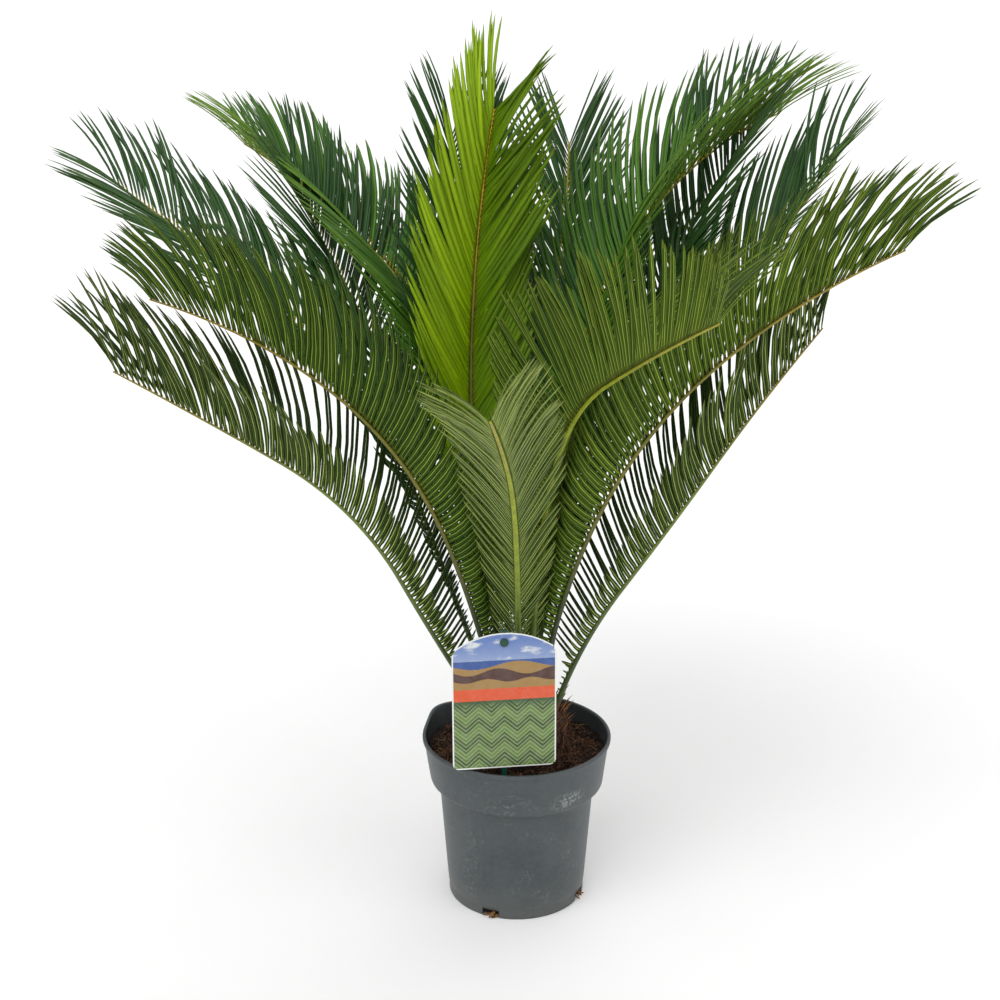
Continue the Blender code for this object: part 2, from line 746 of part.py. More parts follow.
def place_leaflet(frond, points, share, side, chance, others, own) -> list | None:
    """Finds sections for one leaflet that touch nothing else, or None where there is no room.

    Args:
        frond: the frond.
        points: its spine points.
        share: the leaflet's place as a share of the rib's length.
        side: 1 for the left row, -1 for the right row.
        chance: the frond's own random numbers.
        others: the trees of other pieces, which the whole leaflet stays clear of.
        own: the trees of the frond's earlier leaflets, each without the stretch next to the rib.

    Returns:
        The leaflet's two outer sections, or None.
    """
    blade_share = (share - PETIOLE_SHARE) / (1.0 - PETIOLE_SHARE)
    full = frond.leaflet * leaflet_length(blade_share) * (1.0 + chance.uniform(-LEAFLET_JITTER, LEAFLET_JITTER))
    angle = leaflet_angle(blade_share) + chance.uniform(-ANGLE_JITTER, ANGLE_JITTER)
    for change, scale in RETRIES:
        sections = leaflet_sections(
            frond, points, share, side, full * scale, angle, LEAFLET_RAISE + change
        )
        root, wide, tip = sections
        if any(test_tree(sections).overlap(other) for other in others):
            continue
        clear = [near.lerp(far, OWN_TEST_START) for near, far in zip(root, wide)]
        outer = test_tree([clear, wide, tip])
        if not any(outer.overlap(other) for other in own):
            own.append(outer)
            return [wide, tip]
    return None


def grow_frond(frond: Frond, parts, trees: list) -> tuple:
    """Builds one frond: extrudes its rib from its root section, then its leaflets from the rib's upper faces.

    Args:
        frond: the frond.
        parts: the object's collection.
        trees: the trees of everything that it must stay clear of.

    Returns:
        The frond's object, and how many leaflets were left out for want of room.
    """
    chance = random.Random(f"{SEED} {frond.name}")
    points = spine_points(frond)
    bm = bmesh.new()
    start = rib_ring(frond, points, 0.0)
    circle = bmesh.ops.create_circle(bm, cap_ends=True, segments=4, radius=1.0)["verts"]
    for vertex, corner in zip(circle, start):
        vertex.co = corner
    face = bm.faces[:][0]
    corner_of = [min(range(4), key=lambda n: (v.co - start[n]).length) for v in face.verts]
    stretches = []
    for share in rib_stations()[1:]:
        ring = rib_ring(frond, points, share)
        face, sides = extrude_to(bm, face, [ring[number] for number in corner_of])
        stretches.append(sides)
    # Every second stretch past the petiole carries a pair of leaflets
    carriers = stretches[PETIOLE_SECTIONS::2]
    edges = [{corner_of[n], corner_of[(n + 1) % 4]} for n in range(4)]
    own = []
    left_out = 0
    for middle, sides in zip(leaflet_shares(), carriers):
        for side, pair in ((1, {0, 1}), (-1, {1, 2})):
            wall = sides[edges.index(pair)]
            sections = place_leaflet(frond, points, middle, side, chance, trees, own)
            if sections is None:
                left_out += 1
                continue
            for section in sections:
                wall = grow_section(bm, wall, frond, points, middle, section)
    bmesh.ops.remove_doubles(bm, verts=bm.verts, dist=MERGE / 10)
    bmesh.ops.holes_fill(bm, edges=bm.edges, sides=4)
    bmesh.ops.recalc_face_normals(bm, faces=bm.faces)
    mesh = bpy.data.meshes.new(frond.name)
    bm.to_mesh(mesh)
    bm.free()
    obj = add_object(frond.name, mesh, parts, frond.colour)
    trees.append(mesh_tree(mesh, Matrix.Identity(4)))
    return obj, left_out


def grow_section(bm, wall, frond, points, share, section) -> bmesh.types.BMFace:
    """Extrudes a leaflet's face to its next section, each corner to the one on its own side.

    Args:
        bm: the frond's mesh.
        wall: the face that grows.
        frond: the frond.
        points: its spine points.
        share: the leaflet's place as a share of the rib's length.
        section: lower near, upper near, upper far and lower far.

    Returns:
        The new end face.
    """
    along, upper = rib_frame(frond, points, share)[1:3]
    centre = wall.calc_center_median()
    far = {vertex: (vertex.co - centre).dot(along) > 0 for vertex in wall.verts}
    corners = []
    for vertex in wall.verts:
        partner = [other for other in wall.verts if far[other] == far[vertex] and other is not vertex][0]
        high = (vertex.co - partner.co).dot(upper) > 0
        number = (2 if high else 3) if far[vertex] else (1 if high else 0)
        corners.append(section[number])
    return extrude_to(bm, wall, corners)[0]


def bare_rib(frond: Frond) -> BVHTree:
    """The test tree of a frond's rib alone."""
    points = spine_points(frond)
    return test_tree([rib_ring(frond, points, share) for share in rib_stations()])


def main() -> None:
    """Builds every part in order: pot, soil, trunk, label, then the fronds, front ones first."""
    clear_scene()
    parts = make_collection(OBJECT_NAME, True)
    helpers = make_collection("cutters", False)
    solid = [build_pot(parts, helpers), build_soil(parts), build_trunk(parts)]
    solid += [build_card(parts), build_stake(parts, helpers)]
    bpy.context.view_layer.update()
    fixed = [obstacle(obj) for obj in solid]
    ribs = {frond.name: bare_rib(frond) for frond in FRONDS}
    grown = []
    for frond in FRONDS:
        others = [tree for name, tree in ribs.items() if name != frond.name]
        trees = fixed + others + grown
        before = len(trees)
        left_out = grow_frond(frond, parts, trees)[1]
        grown.append(trees[before])
        print(f"{frond.name}: {left_out} leaflets left out")


if __name__ == "__main__":
    main()
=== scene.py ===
"""Visual model of a young sago palm in its nursery pot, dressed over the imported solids.

Metres, +Z up. The origin is the middle of the pot's flat underside and the photograph looks along +Y.
The fronds grow by the rule that their solids follow, with more and finer leaflets. The pot, soil, trunk
and stake are worked out as smooth surfaces, and the label keeps its solid under a printed face.
"""

import logging
import math
from dataclasses import dataclass, replace
from enum import Enum

import bmesh
import bpy
import numpy as np
from mathutils import Matrix, Vector


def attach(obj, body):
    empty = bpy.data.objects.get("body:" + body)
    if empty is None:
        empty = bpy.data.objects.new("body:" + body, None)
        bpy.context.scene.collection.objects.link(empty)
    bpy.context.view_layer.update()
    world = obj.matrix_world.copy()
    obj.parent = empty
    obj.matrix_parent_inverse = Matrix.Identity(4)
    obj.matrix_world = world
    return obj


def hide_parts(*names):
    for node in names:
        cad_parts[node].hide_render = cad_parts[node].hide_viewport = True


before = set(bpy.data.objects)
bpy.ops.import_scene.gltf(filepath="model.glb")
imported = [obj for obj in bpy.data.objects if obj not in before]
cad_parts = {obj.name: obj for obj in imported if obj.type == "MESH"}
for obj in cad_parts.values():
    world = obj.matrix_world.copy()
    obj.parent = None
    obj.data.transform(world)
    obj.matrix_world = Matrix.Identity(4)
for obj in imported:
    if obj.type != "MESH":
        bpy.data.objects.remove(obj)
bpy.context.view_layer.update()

LOG = logging.getLogger("sago_palm")
MAP_NAME = "run"
TINT_NAME = "tint"
TURN = 2 * np.pi
UP = np.array([0.0, 0.0, 1.0])
LEVEL = np.array([1.0, 1.0, 0.0])
TRUNK_X = 0.002
SOIL_TOP = 0.1570
Colour = tuple[float, ...]
Output = bpy.types.NodeSocket
Node = bpy.types.Node
Piece = bpy.types.Object
Material = bpy.types.Material


def tone(red: int, green: int, blue: int) -> Colour:
    """Turns a screen colour into the linear colour that a shader takes.

    Args:
        red: red, 0 to 255.
        green: green, 0 to 255.
        blue: blue, 0 to 255.

    Returns:
        The linear colour with an alpha of 1.
    """
    screen = np.array([red, green, blue]) / 255.0
    linear = np.where(screen <= 0.04045, screen / 12.92, ((screen + 0.055) / 1.055) ** 2.4)
    return (*(float(channel) for channel in linear), 1.0)


def unit(vectors: np.ndarray) -> np.ndarray:
    """Vectors along the last axis, each divided by its length."""
    return vectors / np.maximum(np.linalg.norm(vectors, axis=-1, keepdims=True), 1e-12)


def outward(angle: np.ndarray) -> np.ndarray:
    """Level directions at angles round Z, in radians."""
    return np.stack([np.cos(angle), np.sin(angle), np.zeros_like(angle)], axis=-1)


def drift(count: int, chance: np.random.Generator, span: int) -> np.ndarray:
    """Random values with a spread of about 1 that change slowly along a row.

    Args:
        count: how many.
        chance: random numbers.
        span: how many neighbours move together.

    Returns:
        The values, each the sum of a window of independent ones over the root of the window's length.
    """
    return np.convolve(chance.normal(size=count + span), np.ones(span) / math.sqrt(span), "valid")[:count]


def ripple(points: np.ndarray, wavelength: float, seed: int) -> np.ndarray:
    """Smooth random relief between about -1 and 1.

    It is a sum of sine waves that run in random directions, each about one wavelength long, divided by
    the square root of half their number.

    Args:
        points: places, with three coordinates on the last axis.
        wavelength: the usual length of a wave, in metres.
        seed: seed of the random directions.

    Returns:
        One value for each place.
    """
    waves = 14
    chance = np.random.default_rng(seed)
    ways = unit(chance.normal(size=(waves, 3)))
    lengths = wavelength * chance.uniform(0.6, 1.6, waves)
    phases = chance.uniform(0.0, TURN, waves)
    return np.sin(points @ (ways / lengths[:, None] * TURN).T + phases).sum(axis=-1) / math.sqrt(waves / 2)


@dataclass
class Surface:
    """Arrays of a mesh: its points, its faces, a material number for each face, a map and a tint.

    A face has four corners, and one whose last two corners are the same point is a triangle. The map
    holds a place across the shape and a place along it, both 0 to 1, for each point.
    """

    points: np.ndarray
    faces: np.ndarray
    kinds: np.ndarray
    run: np.ndarray
    tint: np.ndarray

    @staticmethod
    def joined(pieces: list["Surface"]) -> "Surface":
        """Puts several surfaces into one, with their corner numbers shifted.

        Args:
            pieces: the surfaces.

        Returns:
            One surface that holds them all.
        """
        shifts = np.cumsum([0] + [len(piece.points) for piece in pieces])
        faces = np.concatenate([piece.faces + shift for piece, shift in zip(pieces, shifts)])
        points, kinds, run, tint = (
            np.concatenate([getattr(piece, name) for piece in pieces])
            for name in ("points", "kinds", "run", "tint")
        )
        return Surface(points, faces, kinds, run, tint)

    def placed(self, matrix: Matrix) -> "Surface":
        """The same surface with its points moved by a matrix."""
        turn = np.array(matrix)
        return replace(self, points=self.points @ turn[:3, :3].T + turn[:3, 3])

    def object(self, name: str, materials: list[Material], smooth: bool = True) -> Piece:
        """Makes the Blender object, at the origin and unturned.

        Args:
            name: its name.
            materials: its materials, in the order of the material numbers.
            smooth: whether its faces are shaded smooth.

        Returns:
            The object, linked to the scene.
        """
        used = np.ones(self.faces.shape, bool)
        used[:, 3] = self.faces[:, 3] != self.faces[:, 2]
        corners = self.faces[used]
        totals = used.sum(axis=1)
        mesh = bpy.data.meshes.new(name)
        mesh.vertices.add(len(self.points))
        mesh.vertices.foreach_set("co", self.points.astype(np.float32).ravel())
        mesh.loops.add(len(corners))
        mesh.loops.foreach_set("vertex_index", corners.astype(np.int32))
        mesh.polygons.add(len(self.faces))
        mesh.polygons.foreach_set("loop_start", (np.cumsum(totals) - totals).astype(np.int32))
        mesh.update(calc_edges=True)
        mesh.polygons.foreach_set("material_index", self.kinds.astype(np.int32))
        mesh.polygons.foreach_set("use_smooth", np.full(len(self.faces), smooth))
        mesh.uv_layers.new(name=MAP_NAME).data.foreach_set("uv", self.run[corners].astype(np.float32).ravel())
        tint = mesh.attributes.new(TINT_NAME, "FLOAT", "POINT")
        tint.data.foreach_set("value", self.tint.astype(np.float32))
        for material in materials:
            mesh.materials.append(material)
        mesh.update()
        made = bpy.data.objects.new(name, mesh)
        bpy.context.scene.collection.objects.link(made)
        return made


def ring_faces(rings: int, sides: int) -> np.ndarray:
    """Faces between neighbouring rings of points that are numbered ring by ring.

    Args:
        rings: how many rings.
        sides: how many points in a ring.

    Returns:
        The corner numbers, four to a face.
    """
    row = np.arange(rings - 1)[:, None] * sides
    here = np.arange(sides)
    after = (here + 1) % sides
    corners = np.broadcast_arrays(row + here, row + after, row + sides + after, row + sides + here)
    return np.stack(corners, axis=-1).reshape(-1, 4)


def capped(points: np.ndarray, ends: np.ndarray, along: np.ndarray) -> Surface:
    """Closes rings of points into a tube whose ends each meet in one middle point.

    Args:
        points: (rings, sides, 3) places.
        ends: (2, 3) places of the first and the last middle point.
        along: each ring's place along the map.

    Returns:
        The surface, with its map's first place round it and its second along it.
    """
    rings, sides = points.shape[:2]
    here = np.arange(sides)
    after = (here + 1) % sides
    last = (rings - 1) * sides
    first_end = np.full(sides, rings * sides)
    foot = np.stack([after, here, first_end, first_end], axis=-1)
    head = np.stack([last + here, last + after, first_end + 1, first_end + 1], axis=-1)
    faces = np.concatenate([ring_faces(rings, sides), foot, head])
    run = np.stack([np.tile(here / sides, rings), np.repeat(along, sides)], axis=-1)
    run = np.concatenate([run, [[0.5, 0.0], [0.5, 1.0]]])
    points = np.concatenate([points.reshape(-1, 3), ends])
    return Surface(points, faces, np.zeros(len(faces), int), run, np.full(len(points), 0.5))


def turned(profile: np.ndarray, segments: int) -> Surface:
    """A closed surface of revolution about Z.

    The profile runs from the middle of the underside, round the outside, to the middle of the top. Point
    (k, m) is profile point k at the angle m / segments of a whole turn, and both ends are single points.

    Args:
        profile: (radius, height) rows whose first and last radius are 0.
        segments: sides of the round.

    Returns:
        The surface.
    """
    ring = profile[1:-1]
    around = outward(TURN * np.arange(segments) / segments)
    points = around * ring[:, None, :1] + UP * ring[:, None, 1:]
    return capped(points, profile[[0, -1], 1:] * UP, np.arange(1, len(ring) + 1) / (len(ring) + 1))


def tube(
    path: np.ndarray, left: np.ndarray, upper: np.ndarray, section: np.ndarray, sizes: np.ndarray
) -> Surface:
    """A closed section carried along a path, with flat ends.

    Point (s, p) is path point s, plus section point p's two coordinates along that station's left and
    upper directions, times the station's size.

    Args:
        path: (stations, 3) places.
        left: (stations, 3) sideways directions.
        upper: (stations, 3) upward directions.
        section: (points, 2) closed outline, anticlockwise seen against the path.
        sizes: (stations, 2) sideways and upward scale at each station.

    Returns:
        The surface.
    """
    sideways = left[:, None] * (section[:, 0] * sizes[:, :1])[..., None]
    upward = upper[:, None] * (section[:, 1] * sizes[:, 1:])[..., None]
    return capped(path[:, None] + sideways + upward, path[[0, -1]], np.linspace(0.0, 1.0, len(path)))


@dataclass
class Blades:
    """Many leaf blades at once, each a ring of points carried along its own curved middle line.

    A blade's own axes are way (to its tip), across and face (out of its upper side). With t from 0 at its
    root to 1 at its tip, its middle line is start + way * length * (t - shrink * t * t) + face * length *
    (rise * t + fall * t * t) + forward * length * (lead * (t * t - t) + reach * t * t). The section has an
    upper side with a middle line, two thin margins, and an underside with a raised midrib.
    """

    start: np.ndarray
    way: np.ndarray
    across: np.ndarray
    face: np.ndarray
    forward: np.ndarray
    length: np.ndarray
    half_width: np.ndarray
    thickness: np.ndarray
    tint: np.ndarray
    rise: float | np.ndarray = 0.1666
    fall: float | np.ndarray = -0.2266
    lead: float | np.ndarray = 0.12
    reach: float | np.ndarray = 0.05
    shrink: float | np.ndarray = 0.0
    fold: float = 0.25
    stations: tuple[float, ...] = (0.0, 0.045, 0.22, 0.46, 0.70, 0.90, 1.0)
    widths: tuple[float, ...] = (0.45, 0.72, 1.0, 1.0, 0.93, 0.56, 0.03)
    ring_across: tuple[float, ...] = (-1.0, 0.0, 1.0, 1.0, 0.17, 0.0, -0.17, -1.0)
    ring_fold: tuple[float, ...] = (-1.0, 0.0, -1.0, -1.0, 0.0, 0.0, 0.0, -1.0)
    ring_depth: tuple[float, ...] = (0.0, 0.0, 0.0, -1.0, -1.0, -1.9, -1.0, -1.0)
    caps: tuple[tuple[int, ...], ...] = ((0, 1, 6, 7), (1, 4, 5, 6), (1, 2, 3, 4))

    @staticmethod
    def facing(start: np.ndarray, way: np.ndarray, towards: np.ndarray, *sizes: np.ndarray) -> "Blades":
        """Blades whose upper sides face a direction.

        Args:
            start: their roots.
            way: directions to their tips.
            towards: the direction or directions that they face.
            sizes: their lengths, half widths, thicknesses and tints.

        Returns:
            The blades.
        """
        across = unit(np.cross(way, towards))
        return Blades(start, way, across, np.cross(across, way), across, *sizes)

    def rolled(self, angle: np.ndarray) -> "Blades":
        """Turns each blade about its own way.

        Args:
            angle: how far, in radians.

        Returns:
            The same blades.
        """
        cosine = np.cos(angle)[:, None]
        sine = np.sin(angle)[:, None]
        across = self.across * cosine + self.face * sine
        self.face = self.face * cosine - self.across * sine
        self.across = across
        return self

    def slimmed(self) -> "Blades":
        """Gives the blades a plain four-sided section and fewer stations, for threads and fibres.

        Returns:
            The same blades.
        """
        self.stations = (0.0, 0.3, 0.65, 1.0)
        self.widths = (0.8, 1.0, 0.8, 0.1)
        self.ring_across = (-1.0, 0.0, 1.0, 0.0)
        self.ring_fold = (0.0, 0.0, 0.0, 0.0)
        self.ring_depth = (-0.5, 0.5, -0.5, -1.5)
        self.caps = ((0, 1, 2, 3),)
        return self

    def surface(self, kinds: int | tuple[int, ...] = (0, 0, 2, 1, 3, 3, 1, 2), root_kind: int = 4) -> Surface:
        """Works out all the blades' points and faces as whole arrays.

        Args:
            kinds: the material number of each of the section's sides, or one for all.
            root_kind: the material number of the first stretch, next to the root.

        Returns:
            The surface of all the blades.
        """
        t = np.array(self.stations)
        widths = np.array(self.widths)
        count = len(self.start)
        steps = len(t)
        size = self.length[:, None, None]
        rise, fall, lead, reach, shrink = (
            np.broadcast_to(value, count)[:, None]
            for value in (self.rise, self.fall, self.lead, self.reach, self.shrink)
        )
        line = self.start[:, None] + self.way[:, None] * size * (t - shrink * t * t)[..., None]
        line = line + self.face[:, None] * size * (rise * t + fall * t * t)[..., None]
        line = line + self.forward[:, None] * size * (lead * (t * t - t) + reach * t * t)[..., None]
        wide = self.half_width[:, None] * widths
        thick = self.thickness[:, None] * np.clip(widths * 1.4, 0.12, 1.0)
        ring_across, ring_fold, ring_depth = np.array([self.ring_across, self.ring_fold, self.ring_depth])
        sideways = wide[..., None] * ring_across
        upward = wide[..., None] * self.fold * ring_fold + thick[..., None] * (ring_depth + 0.5)
        points = line[:, :, None] + self.across[:, None, None] * sideways[..., None]
        points = points + self.face[:, None, None] * upward[..., None]
        ring = len(ring_across)
        kinds = np.broadcast_to(kinds, ring)
        side_kinds = np.tile(kinds, steps - 1)
        side_kinds[:ring] = root_kind
        caps = np.array(self.caps)
        faces = np.concatenate([ring_faces(steps, ring), caps[:, ::-1], caps + (steps - 1) * ring])
        face_kinds = np.concatenate([side_kinds, np.repeat([root_kind, kinds[0]], len(caps))])
        shifts = np.arange(count)[:, None, None] * steps * ring
        run = np.stack(np.broadcast_arrays((ring_across + 1) / 2, t[:, None]), axis=-1).reshape(-1, 2)
        return Surface(
            points.reshape(-1, 3),
            (faces + shifts).reshape(-1, 4),
            np.tile(face_kinds, count),
            np.tile(run, (count, 1)),
            np.repeat(self.tint, steps * ring),
        )


class Ledge(Enum):
    """Rings of petioles on the trunk: radius of the ring and height of its ledge, in metres."""

    OUTER = (0.0370, 0.2040)
    MIDDLE = (0.0255, 0.2140)
    INNER = (0.0130, 0.2240)


class LeafTone(Enum):
    """Colours of a row of leaflets: upper side, underside, margin, midrib and root."""

    LIME = (tone(140, 176, 2), tone(120, 150, 12), tone(166, 200, 20), tone(160, 184, 44), tone(138, 146, 20))
    # The next colours are painted shade: a darker copy of LIME for the heart frond's right row, which faces
    # away from the light.
    MOSS = (tone(98, 134, 2), tone(96, 126, 12), tone(122, 156, 18), tone(128, 152, 36), tone(124, 130, 20))
    SAGE = (tone(20, 48, 8), tone(44, 66, 16), tone(110, 130, 58), tone(164, 182, 102), tone(96, 112, 40))
    OLIVE = (tone(26, 60, 8), tone(64, 92, 12), tone(128, 154, 54), tone(156, 178, 78), tone(100, 114, 36))
    GREEN = (tone(26, 66, 14), tone(46, 76, 10), tone(106, 134, 52), tone(148, 170, 72), tone(96, 112, 36))
    FRESH = (tone(60, 110, 20), tone(86, 124, 28), tone(128, 164, 60), tone(136, 162, 60), tone(140, 144, 38))
    DARK = (tone(32, 76, 22), tone(60, 94, 28), tone(98, 132, 76), tone(114, 140, 60), tone(136, 142, 42))


class RibTone(Enum):
    """Colours of a rib: at its foot, at its middle and at its tip."""

    BRIGHT = (tone(84, 106, 26), tone(156, 168, 30), tone(166, 158, 44))
    AMBER = (tone(34, 56, 8), tone(88, 104, 10), tone(192, 156, 22))
    YELLOW = (tone(62, 80, 24), tone(134, 140, 32), tone(150, 142, 38))
    OCHRE = (tone(52, 66, 26), tone(120, 116, 26), tone(156, 132, 32))
    PLAIN = (tone(62, 82, 32), tone(106, 122, 42), tone(142, 126, 40))


class TipShape(Enum):
    """Outline of a leaflet's tip: its widths at its last three stations, as shares of its widest."""

    POINTED = (0.90, 0.54, 0.03)
    BLUNT = (0.98, 0.82, 0.20)


@dataclass(frozen=True)
class RowPlan:
    """One row of leaflets.

    Angles are the leaflets' angles to the rib at the blade's foot, middle and tip, and lift is how far they
    are raised at its foot and tip, all in degrees. First and last are the lengths of the end leaflets as
    shares of the longest, which stands at the peak, and power how late they lengthen towards it. Curl is how
    much the first ones curl, broad how wide all are, and shade how much darker the first ones are painted,
    as painted shade deep in the crown.
    """

    tone: LeafTone
    angles: tuple[float, float, float] = (80.0, 48.0, 25.0)
    lift: tuple[float, float] = (46.0, 46.0)
    first: float = 0.16
    last: float = 0.60
    peak: float = 0.55
    power: float = 1.3
    curl: float = 0.6
    broad: float = 1.0
    shade: float = 0.0


@dataclass(frozen=True)
class FrondPlan:
    """One frond, in the numbers that its solid is built from, with its two rows.

    Azimuths are degrees from +X towards +Y. The four leans are the rib's angles from upright at its root,
    at a third, at two thirds and at its tip, and swing is how far its azimuth turns by the tip. Spacing is
    how far its leaflets stand apart, as a share of the usual, and relief how much they are folded and rolled.
    """

    name: str
    ledge: Ledge
    root: float
    azimuth: float
    length: float
    leans: tuple[float, float, float, float]
    swing: float
    leaflet: float
    rib: RibTone
    left: RowPlan
    right: RowPlan
    spacing: float = 1.0
    relief: float = 1.0
    tips: TipShape = TipShape.POINTED


LIME, MOSS, SAGE, OLIVE, GREEN, FRESH, DARK = LeafTone
OUTER, MIDDLE, INNER = Ledge
BRIGHT, AMBER, YELLOW, OCHRE, PLAIN = RibTone
BLUNT = TipShape.BLUNT

SAGE_NEAR = RowPlan(SAGE, (70, 46, 30), (30, 58), 0.13, 0.66, peak=0.95, power=2.0, curl=1.0, broad=0.9)
SAGE_FAR = RowPlan(SAGE, (84, 60, 28), (62, 68), 0.34, 0.66, peak=0.45, curl=0.3, broad=0.85)
GREEN_NEAR = RowPlan(GREEN, (80, 50, 30), (40, 52), 0.12, 0.40, peak=0.74, power=1.7, curl=0.95, broad=0.92)
GREEN_FAR = RowPlan(GREEN, (80, 54, 32), (60, 66), 0.24, 0.40, peak=0.5, curl=0.4, broad=0.9)
OLIVE_NEAR = RowPlan(OLIVE, (80, 50, 25), (40, 54), 0.12, 0.52, 0.72, 1.7, curl=0.95, broad=0.92, shade=0.3)
OLIVE_FAR = RowPlan(OLIVE, (80, 52, 23), (60, 66), 0.24, 0.52, peak=0.5, curl=0.4, broad=0.9)
DARK_ROW = RowPlan(DARK, broad=0.88, shade=0.2)
INNER_ROW = RowPlan(DARK, (56, 42, 24), (2, 34), 0.05, power=1.8, curl=0.2, broad=0.88, shade=0.2)
FLAT_ROW = RowPlan(DARK, (72, 48, 25), (0, 46), 0.06, power=1.8, curl=0.4, broad=0.88, shade=0.2)
LOW_ROW = RowPlan(DARK, (72, 46, 26), (0, 12), 0.06, 0.42, power=1.8, curl=0.3, broad=0.88, shade=0.2)
SLANT_ROW = RowPlan(DARK, (72, 46, 18), (0, 30), 0.06, 0.45, power=1.8, curl=0.3, broad=0.88, shade=0.2)
FRESH_ROW = RowPlan(FRESH, (70, 46, 25), (2, 46), 0.05, power=1.8, curl=0.2, broad=0.9)
HEART_LEFT = RowPlan(LIME, (46, 32, 15), (40, 40), 0.46, 0.66, peak=0.5, curl=0.1, broad=1.25, shade=0.6)
# The heart's right row takes the painted-shade copy of the left row's colours.
HEART_RIGHT = RowPlan(MOSS, (42, 32, 60), (40, 24), 0.46, 0.72, peak=0.5, curl=0.1, broad=1.25, shade=0.6)
FRONT_LEFT = RowPlan(SAGE, (60, 46, 46), (40, 62), 0.48, 0.62, peak=0.5, curl=0.1, broad=0.84)
FRONT_RIGHT = RowPlan(SAGE, (60, 50, 44), (40, 30), 0.48, 0.58, peak=0.5, curl=0.1, broad=0.84)
SIDE_LEFT = RowPlan(OLIVE, (74, 54, 40), (42, 52), 0.30, 0.56, peak=0.5, curl=0.3)
SIDE_RIGHT = RowPlan(OLIVE, (74, 56, 30), (44, 70), 0.20, 0.46, peak=0.5, curl=0.5)

FROND_PLANS = [
    FrondPlan("frond_heart", INNER, 200, 138, 0.585, (12, 22, 14, 14), -90, 0.135, AMBER,
              HEART_LEFT, HEART_RIGHT, spacing=0.9, relief=0.5),
    FrondPlan("frond_front", MIDDLE, 268, 269, 0.560, (6, 34, 58, 62), -5, 0.088, BRIGHT,
              FRONT_LEFT, FRONT_RIGHT, spacing=1.1, relief=0.8, tips=BLUNT),
    FrondPlan("frond_front_right", MIDDLE, 292, 292, 0.630, (5, 14, 62, 66), 0, 0.125, BRIGHT,
              SIDE_LEFT, SIDE_RIGHT, relief=0.7, tips=BLUNT),
    FrondPlan("frond_left_front", MIDDLE, 218, 215, 0.590, (13, 23, 48, 68), -2, 0.130, OCHRE,
              GREEN_NEAR, GREEN_FAR),
    FrondPlan("frond_right_front", MIDDLE, 320, 323, 0.630, (9, 25, 46, 62), 0, 0.135, OCHRE,
              OLIVE_FAR, OLIVE_NEAR, spacing=1.06),
    FrondPlan("frond_left_low", OUTER, 202, 206, 0.545, (31, 28, 54, 56), 10, 0.118, PLAIN,
              SAGE_NEAR, SAGE_FAR, spacing=1.12),
    FrondPlan("frond_right_low", OUTER, 338, 335, 0.490, (18, 34, 32, 36), -3, 0.105, PLAIN,
              SAGE_FAR, SAGE_NEAR, spacing=1.15),
    FrondPlan("frond_left_high", MIDDLE, 176, 168, 0.660, (21, 20, 53, 58), -6, 0.135, PLAIN,
              LOW_ROW, FLAT_ROW),
    FrondPlan("frond_right", MIDDLE, 10, 8, 0.610, (6, 19, 41, 36), -3, 0.135, PLAIN,
              DARK_ROW, SLANT_ROW),
    FrondPlan("frond_right_back", INNER, 28, 31, 0.615, (11, 19, 29, 42), -7, 0.140, YELLOW,
              DARK_ROW, SLANT_ROW),
    FrondPlan("frond_back_right", MIDDLE, 52, 50, 0.665, (6, 8, 30, 70), -37, 0.140, YELLOW,
              FRESH_ROW, FRESH_ROW),
    FrondPlan("frond_back_left", MIDDLE, 128, 122, 0.700, (12, 14, 56, 69), 22, 0.135, YELLOW,
              FRESH_ROW, FRESH_ROW),
    FrondPlan("frond_left_back", MIDDLE, 150, 143, 0.590, (9, 27, 41, 38), -10, 0.140, YELLOW,
              FLAT_ROW, FLAT_ROW),
    FrondPlan("frond_inner_right", INNER, 60, 75, 0.595, (18, 30, 36, 32), 10, 0.135, YELLOW,
              INNER_ROW, INNER_ROW),
    FrondPlan("frond_inner_left", INNER, 112, 112, 0.565, (16, 20, 18, 20), -3, 0.130, PLAIN,
              INNER_ROW, INNER_ROW),
    FrondPlan("frond_back_low_right", OUTER, 76, 68, 0.600, (26, 40, 58, 70), 6, 0.135, OCHRE,
              GREEN_FAR, GREEN_FAR),
    FrondPlan("frond_back_low_left", OUTER, 110, 110, 0.600, (24, 38, 56, 68), -6, 0.135, OCHRE,
              DARK_ROW, DARK_ROW),
]


class Effect(Enum):
    """Shader groups that more than one finish uses."""

    MOTTLE = "mottle"
    LEAF_SKIN = "leaf_skin"
    FIBRES = "fibres"
    SCUFFS = "scuffs"


